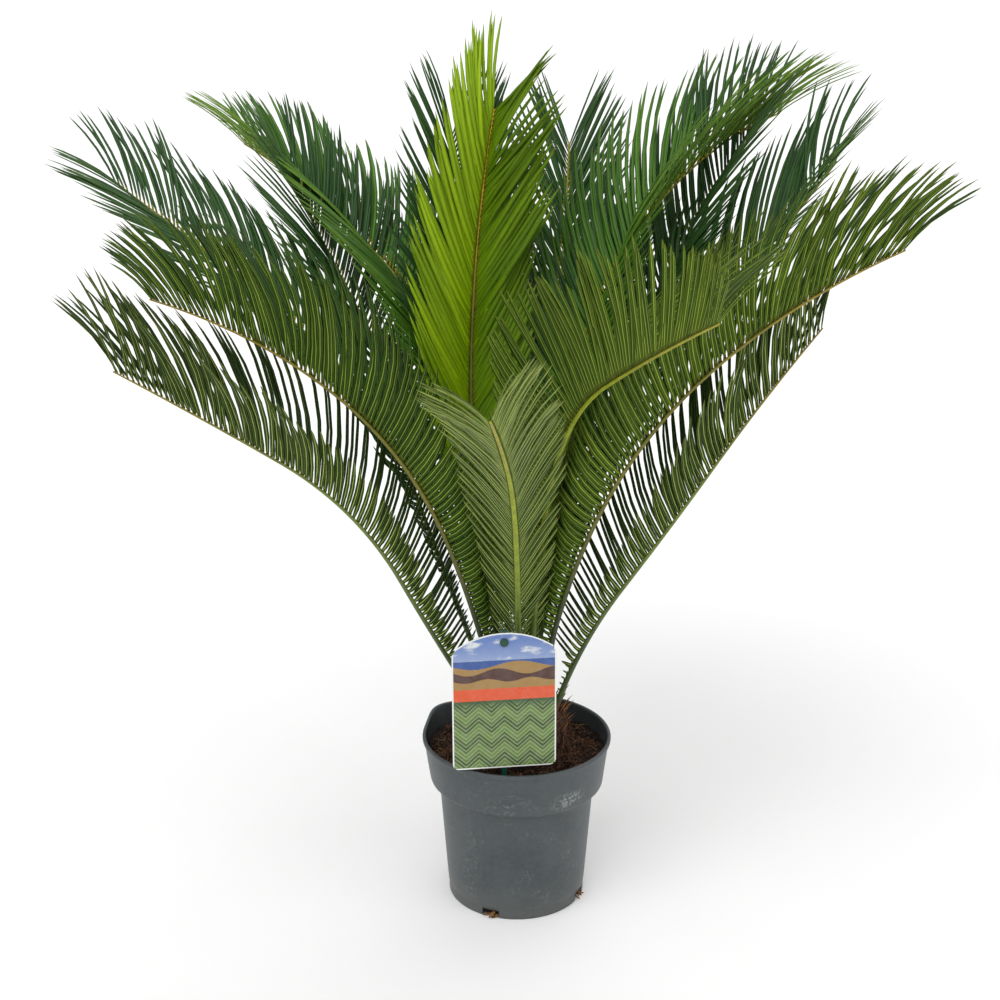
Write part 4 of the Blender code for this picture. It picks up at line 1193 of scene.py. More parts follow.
@dataclass
class NurseryPot:
    """The pot: a tapered bucket with a deep collar, notched for drainage and a little out of round."""

    height: float = 0.175
    wall: float = 0.0020
    rim_radius: float = 0.0960
    rim_lip: float = 0.0012
    lip_height: float = 0.0040
    collar_radius: float = 0.0885
    collar_bottom: float = 0.1285
    chamfer: float = 0.0035
    body_top_radius: float = 0.0790
    body_top: float = 0.1225
    foot_radius: float = 0.0700
    foot_height: float = 0.0120
    foot_step: float = 0.0008
    edge: float = 0.0009
    notch_height: float = 0.0085
    notch_depth: float = 0.0060
    notch_first: float = 248.0
    notches: int = 4
    notch_columns: int = 10
    segments: int = 240
    bulge_at: float = 144.0
    bulge_width: float = 15.0
    bulge: float = 0.0080
    bulge_rise: float = 0.0018
    collar_slant: float = 0.0022

    def collar_at(self, height: float) -> float:
        """Outer radius of the collar at a height below the rim's lip."""
        share = (height - self.collar_bottom) / (self.height - self.collar_bottom)
        return self.collar_radius + share * (self.rim_radius - self.rim_lip - self.collar_radius)

    def body_at(self, height: float) -> float:
        """Outer radius of the body between its foot and its collar.

        Args:
            height: the height.

        Returns:
            The radius.
        """
        share = (height - self.foot_height) / (self.body_top - self.foot_height)
        foot = self.foot_radius + self.foot_step
        return foot + share * (self.body_top_radius - self.foot_radius - self.foot_step)

    def profile(self) -> np.ndarray:
        """The wall's closed profile: from the underside's middle, up outside, over the lip and down inside.

        Returns:
            (radius, height) rows.
        """
        lip_bottom = self.height - self.lip_height
        foot, body, collar, rim = self.foot_radius, self.body_top_radius, self.collar_radius, self.rim_radius
        wall = self.wall
        step = self.edge
        rows = [(0.0, 0.0), (foot - self.notch_depth, 0.0), (foot - step, 0.0), (foot, step)]
        rows += [(foot, self.notch_height), (foot, self.foot_height - step)]
        rows += [(self.body_at(self.foot_height), self.foot_height + step)]
        rows += [(self.body_at(height), height) for height in np.linspace(0.02, self.body_top - step, 9)]
        rows += [
            (body + step / 2, self.body_top + step / 3),
            (collar - self.chamfer, self.collar_bottom - self.chamfer - step / 2),
            (collar - step / 2, self.collar_bottom - step),
            (collar, self.collar_bottom + step / 2),
        ]
        rows += [(self.collar_at(height), height) for height in np.linspace(0.132, lip_bottom - 2 * step, 7)]
        rows += [
            (self.collar_at(lip_bottom), lip_bottom - step),
            (rim - step / 3, lip_bottom - step / 3),
            (rim, lip_bottom + step),
            (rim, self.height - step),
            (rim - step / 2, self.height),
            (rim - wall - step, self.height),
            (rim - wall - 1.5 * step, self.height - step),
        ]
        rows += [(self.collar_at(height) - wall, height) for height in np.linspace(lip_bottom, 0.132, 6)]
        rows += [(collar - wall, self.collar_bottom + wall), (body - wall, self.body_top + wall / 2)]
        rows += [(self.body_at(height) - wall, height) for height in np.linspace(0.115, 0.02, 5)]
        rows += [(foot - wall, self.notch_height), (foot - wall, wall + step), (foot - wall - step, wall)]
        return np.array(rows + [(foot - self.notch_depth, wall), (0.0, wall)])

    def warped(self, points: np.ndarray) -> np.ndarray:
        """Puts the collar a little out of round.

        A bump like exp(-(angle from the bulge / its width) squared) pushes points outward and up, growing
        with the square of their height above the collar's foot, and the collar's foot slants across.

        Args:
            points: (points, 3) places.

        Returns:
            The moved places.
        """
        angle = np.degrees(np.arctan2(points[:, 1], points[:, 0]))
        apart = (angle - self.bulge_at + 180.0) % 360.0 - 180.0
        bump = np.exp(-((apart / self.bulge_width) ** 2))
        grown = np.clip((points[:, 2] - self.body_top) / (self.height - self.body_top), 0.0, 1.0) ** 2
        outer = np.clip((np.hypot(points[:, 0], points[:, 1]) / self.collar_radius - 0.55) / 0.45, 0.0, 1.0)
        way = unit(points * LEVEL)
        near_collar = np.exp(-(((points[:, 2] - self.collar_bottom) / 0.012) ** 2))
        rise = self.bulge_rise * bump * grown * outer + self.collar_slant * near_collar * -way[:, 0]
        return points + way * (self.bulge * bump * grown * outer)[:, None] + UP * rise[:, None]

    def notched(self, shape: Surface, rows: int) -> Surface:
        """Cuts the drainage notches: takes out the cells inside each one and walls its edges.

        Args:
            shape: the turned pot.
            rows: how many rings of points it has.

        Returns:
            The pot with its notches.
        """
        columns = self.segments
        outer = np.arange(4)
        inner = rows - 1 - outer
        removed = np.zeros((rows - 1, columns), bool)
        walls = []
        for index in range(self.notches):
            middle = (self.notch_first + 360.0 / self.notches * index) / 360.0 * columns
            first = int(round(middle - self.notch_columns / 2))
            cells = np.arange(first, first + self.notch_columns) % columns
            removed[np.ix_(outer[:3], cells)] = True
            removed[np.ix_(inner[1:], cells)] = True
            for column in (first % columns, (first + self.notch_columns) % columns):
                ends = [outer[:3], outer[1:], inner[1:], inner[:3]]
                walls.append(np.stack([row * columns + column for row in ends], axis=-1))
            after = (cells + 1) % columns
            for near, far in ((outer[0], inner[0]), (outer[3], inner[3])):
                corners = (near, cells), (near, after), (far, after), (far, cells)
                walls.append(np.stack([row * columns + column for row, column in corners], axis=-1))
        kept = np.concatenate([~removed.ravel(), np.ones(2 * columns, bool)])
        faces = np.concatenate([shape.faces[kept]] + walls)
        return Surface(shape.points, faces, np.zeros(len(faces), int), shape.run, shape.tint)

    def build(self) -> Piece:
        """Builds the pot in place of its solid.

        Returns:
            The pot.
        """
        profile = self.profile()
        shape = self.notched(turned(profile, self.segments), len(profile) - 2)
        shape.points = self.warped(shape.points)
        pot = shape.object("nursery_pot", [PotFinish().material()])
        shell = bmesh.new()
        shell.from_mesh(pot.data)
        bmesh.ops.recalc_face_normals(shell, faces=shell.faces)
        shell.to_mesh(pot.data)
        shell.free()
        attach(pot, "root")
        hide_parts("pot")
        return pot


@dataclass(frozen=True)
class SoilFinish:
    """Dark potting mix: near-black crumbs, reddish bark and pale fibres."""

    dark: Colour = tone(28, 20, 16)
    brown: Colour = tone(62, 44, 34)
    bark: Colour = tone(92, 60, 42)
    fibre: Colour = tone(128, 100, 72)

    def materials(self) -> list[Material]:
        """Makes the mix's materials.

        Returns:
            The four materials: bed, dark crumbs, bark and fibres.
        """
        made = []
        for name, base, second, scale in (
            ("soil_bed", self.dark, self.brown, 260.0),
            ("soil_crumbs", self.brown, self.dark, 300.0),
            ("soil_bark", self.bark, self.brown, 240.0),
            ("soil_fibre", self.fibre, self.bark, 180.0),
        ):
            paint = Paint(name, 0.92, 0.25)
            paint.shade(paint.mottled(base, second, scale, 0.8).outputs["Color"])
            paint.bump(paint.noise(900.0, 5.0), 0.0008, 0.7)
            made.append(paint.made)
        return made


@dataclass
class Soil:
    """The potting mix: a plug with a rough top, strewn with crumbs, bark and fibres."""

    pot: NurseryPot
    clearance: float = 0.0006
    floor_gap: float = 0.0003
    segments: int = 200
    top_rings: int = 64
    relief: float = 0.0035
    crumbs: int = 2600
    strands: int = 420
    trunk_radius: float = 0.047
    edge_gap: float = 0.0055

    def height_at(self, points: np.ndarray) -> np.ndarray:
        """Height of the top's relief: three sizes of ripple, banked up at the trunk and hollow by its side.

        Args:
            points: (points, 3) places whose heights don't matter.

        Returns:
            The heights above the top's usual level.
        """
        flat = points * LEVEL
        waves = 0.45 * ripple(flat, 0.045, 1) + 0.35 * ripple(flat, 0.016, 2)
        waves = waves + 0.30 * np.abs(ripple(flat, 0.007, 3))
        away = np.hypot(points[:, 0] - TRUNK_X, points[:, 1]) - self.trunk_radius
        bank = 0.006 * np.exp(-np.clip(away, 0.0, None) / 0.010)
        hollow = np.hypot(points[:, 0] - 0.046, points[:, 1] + 0.052)
        return self.relief * waves + bank - 0.010 * np.exp(-((hollow / 0.012) ** 2))

    def bed(self) -> Surface:
        """The plug: it follows the pot's inside, and its top is lifted by the relief.

        Returns:
            Its surface.
        """
        pot = self.pot
        inset = pot.wall + self.clearance
        edge = pot.collar_at(SOIL_TOP) - inset
        profile = [
            (0.0, pot.wall + self.floor_gap),
            (pot.foot_radius - inset - pot.edge, pot.wall + self.floor_gap),
            (pot.foot_radius - inset, pot.wall + pot.edge),
            (pot.body_at(0.02) - inset, 0.02),
            (pot.body_top_radius - inset, pot.body_top),
            (pot.collar_radius - inset, pot.collar_bottom + 2 * inset),
            (edge, SOIL_TOP - 0.004),
        ]
        profile += [(edge * share, SOIL_TOP) for share in np.linspace(0.995, 0.0, self.top_rings)]
        shape = turned(np.array(profile), self.segments)
        shape.points = pot.warped(shape.points)
        on_top = shape.points[:, 2] > SOIL_TOP - 0.001
        shape.points[:, 2] += np.where(on_top, self.height_at(shape.points), 0.0)
        return shape

    def edge(self) -> float:
        """How far out anything may lie on the top."""
        return self.pot.collar_at(SOIL_TOP) - self.pot.wall - self.edge_gap

    def strewn(self, count: int, chance: np.random.Generator) -> np.ndarray:
        """Random places on the top, outside the trunk and inside the pot.

        Args:
            count: how many.
            chance: random numbers.

        Returns:
            (count, 3) places on the relief.
        """
        radius = np.sqrt(chance.uniform(self.trunk_radius ** 2, self.edge() ** 2, count))
        points = outward(chance.uniform(0.0, TURN, count)) * radius[:, None] + UP * SOIL_TOP
        points[:, 2] += self.height_at(points)
        return points

    def lumps(self, count: int, sizes: tuple[float, float], kind: int, seed: int) -> Surface:
        """Crumbs: eight-cornered blocks, each stretched, turned and dented by random amounts.

        Args:
            count: how many.
            sizes: the smallest and the largest half size.
            kind: their material number.
            seed: seed of their random numbers.

        Returns:
            Their surface.
        """
        chance = np.random.default_rng(seed)
        corner = np.array([(x, y, z) for z in (-1, 1) for y in (-1, 1) for x in (-1, 1)], float)
        faces = np.array([[0, 2, 3, 1], [4, 5, 7, 6], [0, 1, 5, 4], [2, 6, 7, 3], [0, 4, 6, 2], [1, 3, 7, 5]])
        size = chance.uniform(*sizes, count) * chance.uniform(0.6, 1.0, count)
        stretch = chance.uniform(0.45, 1.25, (count, 1, 3))
        block = corner * stretch * (1.0 + chance.uniform(-0.35, 0.35, (count, 8, 3)))
        frames, _ = np.linalg.qr(chance.normal(size=(count, 3, 3)))
        frames[np.linalg.det(frames) < 0] *= -1.0
        points = np.einsum("nij,nkj->nki", frames, block * 0.7) * size[:, None, None]
        place = self.strewn(count, chance) + UP * (size * 0.25)[:, None]
        points = (points + place[:, None]).reshape(-1, 3)
        shifted = (faces + (np.arange(count) * 8)[:, None, None]).reshape(-1, 4)
        run = np.tile((corner[:, :2] + 1) / 2, (count, 1))
        tint = np.repeat(chance.uniform(0.0, 1.0, count), 8)
        return Surface(points, shifted, np.full(len(shifted), kind), run, tint)

    def fibres(self) -> Surface:
        """Fibres: slim blades that lie about on the top, turned inward where they would meet the pot.

        Returns:
            Their surface.
        """
        chance = np.random.default_rng(31)
        count = self.strands
        start = self.strewn(count, chance) + UP * 0.0008
        level = outward(chance.uniform(0.0, TURN, count))
        way = unit(level + UP * chance.normal(0.0, 0.22, (count, 1)))
        length = chance.uniform(0.004, 0.014, count)
        end = start + way * length[:, None]
        way[np.hypot(end[:, 0], end[:, 1]) > self.edge()] *= -1.0
        slim = chance.uniform(0.00022, 0.0005, count)
        blades = Blades.facing(start, way, UP, length, slim, slim, chance.uniform(0.2, 0.9, count))
        blades.reach = 0.12
        return blades.slimmed().surface(3, 3)

    def build(self) -> list[Piece]:
        """Builds the bed and what lies on it, in place of the soil's solid.

        Returns:
            The two pieces.
        """
        materials = SoilFinish().materials()
        bed = self.bed().object("soil_bed", materials)
        lumps = [
            self.lumps(self.crumbs, (0.0007, 0.0024), 1, 11),
            self.lumps(self.crumbs // 3, (0.0010, 0.0032), 2, 12),
            self.fibres(),
        ]
        crumbs = Surface.joined(lumps).object("soil_crumbs", materials, smooth=False)
        for piece in (bed, crumbs):
            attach(piece, "root")
            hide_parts("soil")
        return [bed, crumbs]


@dataclass(frozen=True)
class TrunkFinish:
    """Old scales of the trunk: reddish brown, fibrous, with tan ends."""

    brown: Colour = tone(92, 60, 44)
    dark: Colour = tone(38, 24, 18)
    tan: Colour = tone(156, 114, 70)
    straw: Colour = tone(118, 80, 52)

    def materials(self) -> list[Material]:
        """Makes the trunk's fibrous materials.

        Returns:
            The three materials: bark, scales and straw.
        """
        made = []
        for name, base, dark in (
            ("trunk_bark", self.brown, self.dark),
            ("trunk_scale", self.tan, self.brown),
            ("trunk_straw", self.straw, self.dark),
        ):
            paint = Paint(name, 0.85, 0.3)
            fibres = paint.effect(Effect.FIBRES, {"Color": base, "Dark Color": dark, "Scale": 420.0}).outputs
            paint.shade(paint.mottled(fibres["Color"], dark, 70.0, 0.35).outputs["Color"])
            paint.bump(fibres["Height"], 0.0012, 0.8)
            made.append(paint.made)
        return made


@dataclass
class Trunk:
    """The trunk: a barrel of overlapping old leaf bases, with a cone of young scales between the petioles."""

    profile: tuple[tuple[float, float], ...] = (
        (0.0520, 0.148), (0.0515, 0.157), (0.0488, 0.169), (0.0492, 0.183), (0.0480, 0.194),
        (0.0440, 0.202), (0.0350, 0.210), (0.0220, 0.220), (0.0090, 0.230), (0.0, 0.236),
    )
    segments: int = 260
    rings: int = 110
    bases_round: int = 15
    base_height: float = 0.0125
    base_relief: float = 0.0030
    fibres_round: int = 170
    fibre_relief: float = 0.0005
    young_scales: int = 150
    scale_heights: tuple[float, float] = (0.186, 0.231)
    strands: int = 260
    strand_heights: tuple[float, float] = (0.168, 0.206)

    def radius_at(self, height: np.ndarray) -> np.ndarray:
        """Radius of the barrel before its relief, at heights."""
        radii, heights = zip(*self.profile)
        return np.interp(height, heights, radii)

    def barrel(self) -> Surface:
        """The barrel with its leaf bases.

        Each row of bases is staggered by half a base. A base stands out by (1 - |2u - 1| to the power 1.8)
        times v to the power 0.6, with u across it and v up it, so that its top edge overlaps the next row.
        Upright fibres add a fine sine ripple.

        Returns:
            The surface.
        """
        low = self.profile[0][1]
        high = self.profile[-1][1]
        heights = low + (high - low) * np.linspace(0.0, 1.0, self.rings)
        rows = np.stack([self.radius_at(heights), heights], axis=-1)
        shape = turned(np.concatenate([[[0.0, low]], rows[:-1], [[0.0, high]]]), self.segments)
        points = shape.points
        angle = np.arctan2(points[:, 1], points[:, 0])
        level = (points[:, 2] - low) / self.base_height + 0.10 * ripple(points, 0.03, 41)
        row = np.floor(level)
        u = (angle / TURN * self.bases_round + 0.5 * (row % 2) + 0.13 * row) % 1.0
        v = level - row
        stand = (1.0 - np.abs(2 * u - 1) ** 1.8) * v ** 0.6
        fibre = np.sin(angle * self.fibres_round + 3.0 * ripple(points, 0.012, 42))
        fibre = fibre * (0.6 + 0.4 * ripple(points, 0.02, 43))
        fade = np.clip((high - points[:, 2]) / 0.03, 0.0, 1.0)
        push = (self.base_relief * (stand - 0.35) + self.fibre_relief * fibre) * fade
        shape.points = points + unit(points * LEVEL) * push[:, None] + [TRUNK_X, 0.0, 0.0]
        return shape

    def around(
        self, count: int, chance: np.random.Generator, heights: tuple[float, float]
    ) -> tuple[np.ndarray, ...]:
        """Random places on the barrel, with the way out and the way round at each.

        Args:
            count: how many.
            chance: random numbers.
            heights: the lowest and the highest height.

        Returns:
            Places, outward directions and sideways directions.
        """
        out = outward(chance.uniform(0.0, TURN, count))
        height = chance.uniform(*heights, count)
        place = out * self.radius_at(height)[:, None] + [TRUNK_X, 0.0, 0.0]
        place[:, 2] = height
        return place, out, np.cross(UP, out)

    def scales(self) -> Surface:
        """Young pointed scales between the petioles, leaning outward more the lower they stand.

        Returns:
            Their surface.
        """
        chance = np.random.default_rng(51)
        count = self.young_scales
        place, out, side = self.around(count, chance, self.scale_heights)
        lean = np.interp(place[:, 2], self.scale_heights, [40.0, 12.0]) + chance.normal(0.0, 6.0, count)
        lean = np.radians(lean)[:, None]
        way = out * np.sin(lean) + UP * np.cos(lean)
        way = unit(way + side * chance.normal(0.0, 0.10, (count, 1)))
        length = chance.uniform(0.011, 0.026, count)
        half_width = chance.uniform(0.0022, 0.0042, count)
        tint = chance.uniform(0.0, 1.0, count)
        thickness = np.full(count, 0.0009)
        blades = Blades.facing(place - way * 0.004, way, out, length, half_width, thickness, tint)
        blades.rise, blades.fall, blades.lead, blades.reach = -0.12, 0.20, 0.0, 0.0
        blades.widths = (0.9, 1.0, 0.92, 0.70, 0.42, 0.16, 0.03)
        return blades.surface(1, 0)

    def threads(self) -> Surface:
        """Loose threads of fibre that hang down the barrel.

        Returns:
            Their surface.
        """
        chance = np.random.default_rng(52)
        count = self.strands
        place, out, side = self.around(count, chance, self.strand_heights)
        way = -UP + out * chance.uniform(0.02, 0.30, (count, 1))
        way = unit(way + side * chance.normal(0.0, 0.18, (count, 1)))
        slim = chance.uniform(0.0003, 0.0010, count)
        length = chance.uniform(0.010, 0.028, count)
        tint = chance.uniform(0.0, 1.0, count)
        blades = Blades.facing(place + out * 0.0022, way, out, length, slim, slim * 0.6, tint)
        blades.reach = 0.12
        return blades.slimmed().surface(2, 2)

    def build(self) -> list[Piece]:
        """Builds the trunk in place of its solid.

        Returns:
            The barrel and its scales.
        """
        materials = TrunkFinish().materials()
        barrel = self.barrel().object("trunk_barrel", materials)
        scales = Surface.joined([self.scales(), self.threads()]).object("trunk_old_scales", materials)
        for piece in (barrel, scales):
            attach(piece, "root")
            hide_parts("trunk")
        return [barrel, scales]


@dataclass
class RootWisps:
    """Short dry roots that poke out of the pot's drainage notches."""

    pot: NurseryPot
    for_each_notch: int = 7
    colour: Colour = tone(150, 112, 72)
    dark: Colour = tone(92, 62, 38)

    def build(self) -> Piece:
        """Builds all the wisps as one piece.

        Returns:
            The piece.
        """
        chance = np.random.default_rng(61)
        pot = self.pot
        first = pot.notch_first + 360.0 / pot.notches * np.arange(pot.notches)
        spread = chance.uniform(-5.5, 5.5, (pot.notches, self.for_each_notch))
        out = outward(np.radians(first[:, None] + spread).ravel())
        count = len(out)
        side = np.cross(UP, out)
        start = out * (pot.foot_radius - 0.0045) + UP * chance.uniform(0.0018, 0.0065, (count, 1))
        way = out + side * chance.normal(0.0, 0.5, (count, 1))
        way = unit(way - UP * chance.uniform(0.0, 0.12, (count, 1)))
        slim = chance.uniform(0.0005, 0.0012, count)
        length = chance.uniform(0.005, 0.010, count)
        blades = Blades.facing(start, way, UP, length, slim, slim * 1.4, chance.uniform(0.0, 1.0, count))
        blades.rise, blades.fall, blades.reach = 0.05, -0.12, 0.35
        paint = Paint("dry_roots", 0.9, 0.25)
        blend = paint.mottled(self.colour, self.dark, 420.0, 0.9).outputs
        paint.shade(blend["Color"])
        paint.bump(blend["Mask"], 0.0004, 0.6)
        wisps = blades.surface(0, 0).object("root_wisps", [paint.made])
        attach(wisps, "root")
        return wisps


@dataclass(frozen=True)
class CardFinish:
    """The label's generic print, laid out in the card's own plane: dunes and a sky, a band, and chevrons."""

    width: float
    height: float
    arch: float
    to_card: Matrix
    border: float = 0.0013
    band_low: float = 0.0710
    band_high: float = 0.0832
    white: Colour = tone(232, 234, 230)
    sky: Colour = tone(156, 172, 204)
    high_sky: Colour = tone(96, 124, 182)
    sea: Colour = tone(52, 84, 148)
    gold: Colour = tone(158, 124, 70)
    brown: Colour = tone(78, 48, 42)
    band: Colour = tone(214, 84, 44)
    leaf_dark: Colour = tone(50, 78, 42)
    leaf: Colour = tone(94, 124, 68)
    leaf_light: Colour = tone(158, 172, 108)
    back: Colour = tone(222, 226, 216)

    def upper_print(self, paint: Paint, x: Output, z: Output) -> Output:
        """The upper picture: a sky that deepens upward, a sea, and three dunes whose tops are sine waves.

        Args:
            paint: the material.
            x: place across the card, in metres.
            z: place up the card, in metres.

        Returns:
            Its colour.
        """
        colour = paint.mixed(paint.stretched(z, 0.098, 0.136), self.sky, self.high_sky)
        puff = paint.add("ShaderNodeCombineXYZ", {"X": paint.times(x, 0.45), "Y": z}).outputs[0]
        cloud = paint.stretched(paint.noise(95.0, 4.0, puff), 0.52, 0.68)
        colour = paint.mixed(paint.times(cloud, 0.8), colour, self.white)
        for layer, level, swing, rate, phase in (
            (self.sea, 0.1120, 0.0, 1.0, 0.0),
            (self.gold, 0.1070, 0.0036, 75.0, 0.6),
            (self.brown, 0.1005, 0.0034, 110.0, 2.2),
            (self.gold, 0.0915, 0.0018, 150.0, 4.0),
        ):
            wave = paint.maths("SINE", paint.plus(paint.times(x, rate), phase))
            below = paint.maths("SUBTRACT", paint.plus(paint.times(wave, swing), level), z)
            colour = paint.mixed(paint.stretched(below, -0.0002, 0.0002), colour, layer)
        return colour

    def lower_print(self, paint: Paint, x: Output, z: Output) -> Output:
        """The lower picture: rows of chevrons in three greens.

        Args:
            paint: the material.
            x: place across the card, in metres.
            z: place up the card, in metres.

        Returns:
            Its colour.
        """
        fold = paint.maths("PINGPONG", paint.plus(x, 0.1), 0.0125)
        rise = paint.plus(z, paint.times(fold, 0.9))
        stripe, wide = (paint.maths("SINE", paint.times(rise, TURN / length)) for length in (0.0042, 0.019))
        colour = paint.mixed(paint.stretched(wide, -0.9, 0.9), self.leaf_dark, self.leaf)
        colour = paint.mixed(paint.times(paint.stretched(stripe, 0.1, 0.9), 0.7), colour, self.leaf_light)
        shade = paint.maths("SUBTRACT", 1.0, paint.stretched(z, 0.072, 0.062))
        return paint.mixed(shade, colour, self.leaf_dark)

    def front_print(self, paint: Paint, x: Output, z: Output) -> Output:
        """The front: the lower picture, the band and the upper picture, one above the other.

        Args:
            paint: the material.
            x: place across the card, in metres.
            z: place up the card, in metres.

        Returns:
            Its colour.
        """
        colour = self.lower_print(paint, x, z)
        for level, above in ((self.band_low, self.band), (self.band_high, self.upper_print(paint, x, z))):
            colour = paint.mixed(paint.stretched(z, level - 0.0001, level + 0.0001), colour, above)
        return colour

    def material(self) -> Material:
        """Makes the card's material, printed on its front and plain with a thin stripe on its back.

        Returns:
            The material.
        """
        paint = Paint("label_print", 0.28, 0.5)
        values = {"Rotation": self.to_card.to_euler(), "Location": self.to_card.to_translation()}
        place = paint.add("ShaderNodeMapping", {"Vector": paint.place()} | values).outputs[0]
        axes = paint.add("ShaderNodeSeparateXYZ", {0: place})
        x, y, z = (axes.outputs[axis] for axis in "XYZ")
        half = self.width / 2
        radius = (half * half + self.arch * self.arch) / (2 * self.arch)
        lifted = paint.maths("SUBTRACT", z, self.height - radius)
        reach = paint.plus(paint.maths("POWER", x, 2.0), paint.maths("POWER", lifted, 2.0))
        in_arch = paint.maths("LESS_THAN", paint.maths("POWER", reach, 0.5), radius - self.border)
        in_sides = paint.maths("LESS_THAN", paint.maths("ABSOLUTE", x), half - self.border)
        in_foot = paint.maths("GREATER_THAN", z, self.border)
        inside = paint.times(paint.times(in_arch, in_sides), in_foot)
        front = paint.mixed(inside, self.white, self.front_print(paint, x, z))
        from_stripe = paint.maths("ABSOLUTE", paint.maths("SUBTRACT", z, self.band_low))
        stripe = paint.times(paint.maths("LESS_THAN", from_stripe, 0.003), in_sides)
        back = paint.mixed(stripe, self.back, self.leaf)
        printed = paint.mixed(paint.maths("GREATER_THAN", y, 0.0003), self.white, back)
        printed = paint.mixed(paint.maths("LESS_THAN", y, -0.0003), printed, front)
        scuffs = paint.effect(Effect.SCUFFS, {"Scale": 40.0, "Amount": 0.6}).outputs
        rough = paint.plus(0.26, paint.times(scuffs["Mask"], 0.4))
        paint.shade(paint.mottled(printed, self.white, 150.0, 0.03).outputs["Color"], rough)
        return paint.made


@dataclass
class Label:
    """The plant label: its card keeps its solid, and its stake is rebuilt with rounded edges."""

    place: tuple[float, float, float] = (-0.0125, -0.0800, 0.1775)
    lean: float = 2.0
    yaw: float = 7.5
    width: float = 0.1010
    height: float = 0.1395
    arch: float = 0.0170
    thickness: float = 0.0008
    gap: float = 0.0003
    hole_below_top: float = 0.0095
    head_above_hole: float = 0.0080
    head_radius: float = 0.0044
    stake_width: float = 0.0050
    stake_thickness: float = 0.0016
    button_radius: float = 0.0042
    button_length: float = 0.0014
    peg_radius: float = 0.0024
    stations: int = 14
    sides: int = 16
    plastic: Colour = tone(18, 70, 54)
    plastic_dark: Colour = tone(12, 50, 38)

    def matrix(self) -> Matrix:
        """Where the card hangs: X to its right, Z up it, and Y into the picture."""
        yaw = Matrix.Rotation(math.radians(self.yaw), 4, "Z")
        return Matrix.Translation(self.place) @ yaw @ Matrix.Rotation(math.radians(-self.lean), 4, "X")

    def stake(self) -> Surface:
        """The stake, in the card's own plane: a bar, a round head and the button that holds the card.

        The bar is an oval section carried up a straight path. Head and button are flat round cushions,
        turned about the card's Y axis.

        Returns:
            The surface.
        """
        behind = self.thickness / 2 + self.gap + self.stake_thickness / 2
        hole = self.height - self.hole_below_top
        foot = SOIL_TOP - 0.004 - self.place[2]
        head = hole + self.head_above_hole
        levels = np.linspace(foot, head - self.head_radius * 0.5, self.stations)[:, None]
        path = np.array([0.0, behind, 0.0]) + UP * levels
        turn = TURN * np.arange(self.sides) / self.sides
        wave = np.stack([np.cos(turn), np.sin(turn)], axis=-1)
        section = np.sign(wave) * np.abs(wave) ** 0.55
        left, upper = (np.tile(way, (self.stations, 1)) for way in ([1.0, 0.0, 0.0], [0.0, 1.0, 0.0]))
        sizes = np.tile([self.stake_width / 2, self.stake_thickness / 2], (self.stations, 1))
        front = -self.thickness / 2 - self.gap - self.button_length / 2
        return Surface.joined([
            tube(path, left, upper, section, sizes),
            self.cushion(self.head_radius, self.stake_thickness, head, behind),
            self.cushion(self.button_radius, self.button_length, hole, front),
            self.cushion(self.peg_radius, behind - front, hole, (behind + front) / 2),
        ])

    def cushion(self, radius: float, thickness: float, level: float, depth: float) -> Surface:
        """A round with rounded edges whose axis is the card's Y.

        Args:
            radius: its radius.
            thickness: its thickness along Y.
            level: its middle's height on the card.
            depth: its middle's place along Y.

        Returns:
            The surface.
        """
        half = thickness / 2
        soft = min(half, radius) * 0.6
        rows = [(0.0, -half), (radius * 0.5, -half), (radius - soft, -half)]
        for turn in (0.5, 1.0, math.pi / 2):
            rows.append((radius - soft * (1 - math.sin(turn)), -half + soft * (1 - math.cos(turn))))
        for turn in (0.0, 0.6, 1.1):
            rows.append((radius - soft * (1 - math.cos(turn)), half - soft * (1 - math.sin(turn))))
        rows += [(radius - soft, half), (radius * 0.5, half), (0.0, half)]
        lay_down = Matrix.Rotation(math.radians(90), 4, "X")
        return turned(np.array(rows), 32).placed(Matrix.Translation((0.0, depth, level)) @ lay_down)

    def build(self) -> list[Piece]:
        """Prints the card and builds the stake in place of its solid.

        Returns:
            The card and the stake.
        """
        print_material = CardFinish(self.width, self.height, self.arch, self.matrix().inverted()).material()
        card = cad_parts["tag_card"]
        for slot in card.material_slots:
            slot.material = print_material
        paint = Paint("stake_moulded", 0.38, 0.5)
        paint.shade(paint.mottled(self.plastic, self.plastic_dark, 160.0, 0.6).outputs["Color"])
        scuffs = paint.effect(Effect.SCUFFS, {"Scale": 120.0, "Amount": 0.8})
        paint.bump(scuffs.outputs["Height"], 0.0002, 0.4)
        stake = self.stake().placed(self.matrix()).object("label_stake", [paint.made])
        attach(stake, "root")
        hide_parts("tag_stake")
        return [card, stake]


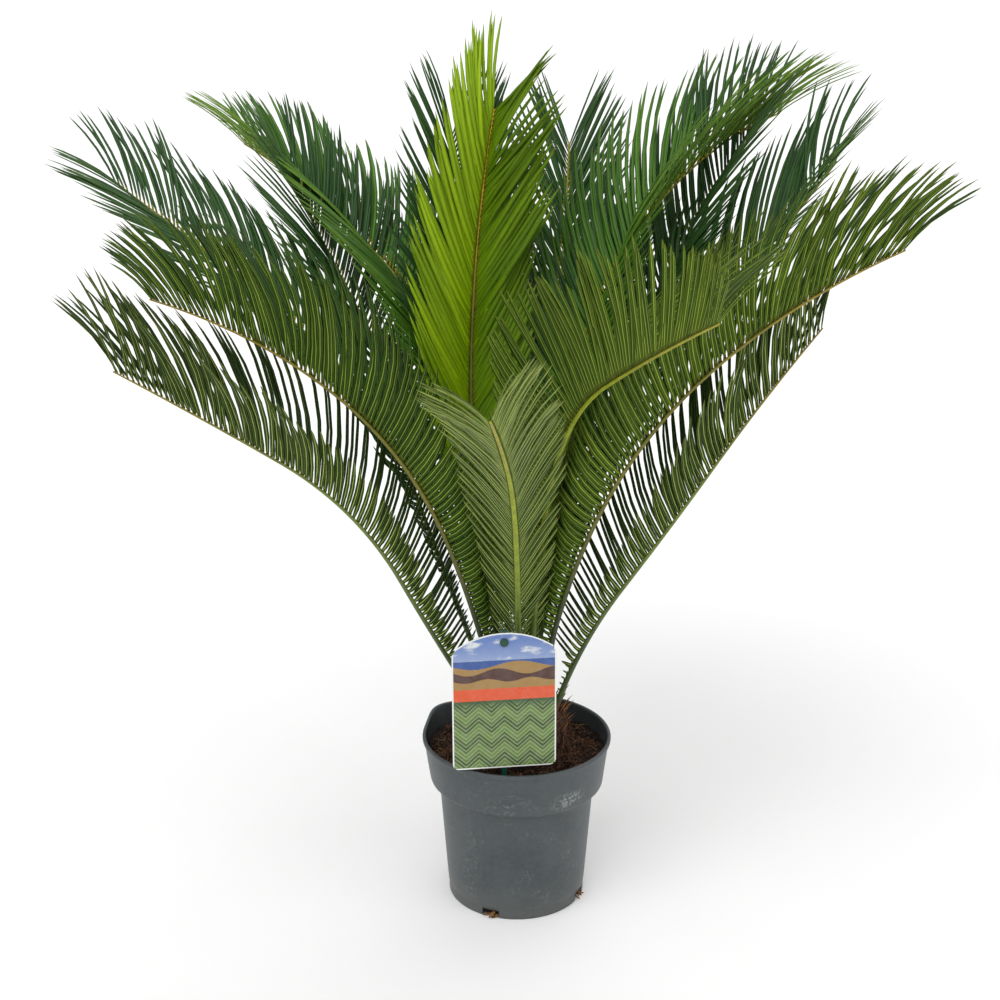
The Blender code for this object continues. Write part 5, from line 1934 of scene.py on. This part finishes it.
@dataclass
class Studio:
    """A pale floor, soft lights and the photograph's camera."""

    camera_place: tuple[float, float, float] = (-0.017, -1.52, 0.925)
    pitch: float = -18.2
    lens: float = 59.15
    sensor: float = 36.0
    floor_radius: float = 60.0
    floor_depth: float = 0.02
    world: float = 0.50
    softness: float = 50.0

    def floor(self) -> None:
        """A wide round floor at the pot's underside, in plain pale paint."""
        paint = Paint("studio_floor", 0.95, 0.1)
        blend = paint.mottled((0.96, 0.96, 0.96, 1.0), (0.95, 0.95, 0.95, 1.0), 2.0, 0.5)
        paint.shade(blend.outputs["Color"])
        wide = self.floor_radius
        rows = np.array([[0.0, -self.floor_depth], [wide, -self.floor_depth], [wide, 0.0], [0.0, 0.0]])
        turned(rows, 96).object("studio_floor", [paint.made], smooth=False)

    def light(self, name: str, place: tuple[float, ...], strength: float) -> None:
        """One wide soft light that shines from a place towards the plant's middle.

        Args:
            name: its name.
            place: the side that it shines from.
            strength: its strength.
        """
        data = bpy.data.lights.new(name, "SUN")
        data.angle = math.radians(self.softness)
        data.energy = strength
        made = bpy.data.objects.new(name, data)
        bpy.context.scene.collection.objects.link(made)
        made.location = place
        made.rotation_euler = Vector(place).to_track_quat("Z", "Y").to_euler()

    def build(self) -> None:
        """Sets up floor, world, lights and camera."""
        scene = bpy.context.scene
        self.floor()
        scene.world = bpy.data.worlds.new("studio")
        scene.world.use_nodes = True
        background = scene.world.node_tree.nodes["Background"]
        background.inputs["Color"].default_value = (1.0, 1.0, 1.0, 1.0)
        background.inputs["Strength"].default_value = self.world
        self.light("key", (-1.1, -1.7, 2.6), 1.5)
        self.light("fill", (1.8, -1.4, 1.6), 0.6)
        self.light("rim", (0.5, 1.4, 2.4), 0.7)
        scene.view_settings.view_transform = "Standard"
        data = bpy.data.cameras.new("photo_camera")
        data.lens = self.lens
        data.sensor_width = self.sensor
        data.clip_end = 200.0
        camera = bpy.data.objects.new("photo_camera", data)
        scene.collection.objects.link(camera)
        camera.location = self.camera_place
        camera.rotation_euler = (math.radians(90.0 + self.pitch), 0.0, 0.0)
        scene.camera = camera


def report(name: str, pieces: list[Piece]) -> None:
    """Logs the pieces of one sub-assembly with their face counts."""
    for piece in pieces:
        LOG.info("%s: %s, %d faces", name, piece.name, len(piece.data.polygons))


def main() -> None:
    """Builds every sub-assembly in order."""
    logging.basicConfig(level=logging.INFO, format="%(message)s")
    pot = NurseryPot()
    report("pot", [pot.build()])
    report("roots", [RootWisps(pot).build()])
    report("soil", Soil(pot).build())
    report("trunk", Trunk().build())
    report("label", Label().build())
    report("crown", Crown().build())
    Studio().build()
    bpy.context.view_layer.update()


if __name__ == "__main__":
    main()
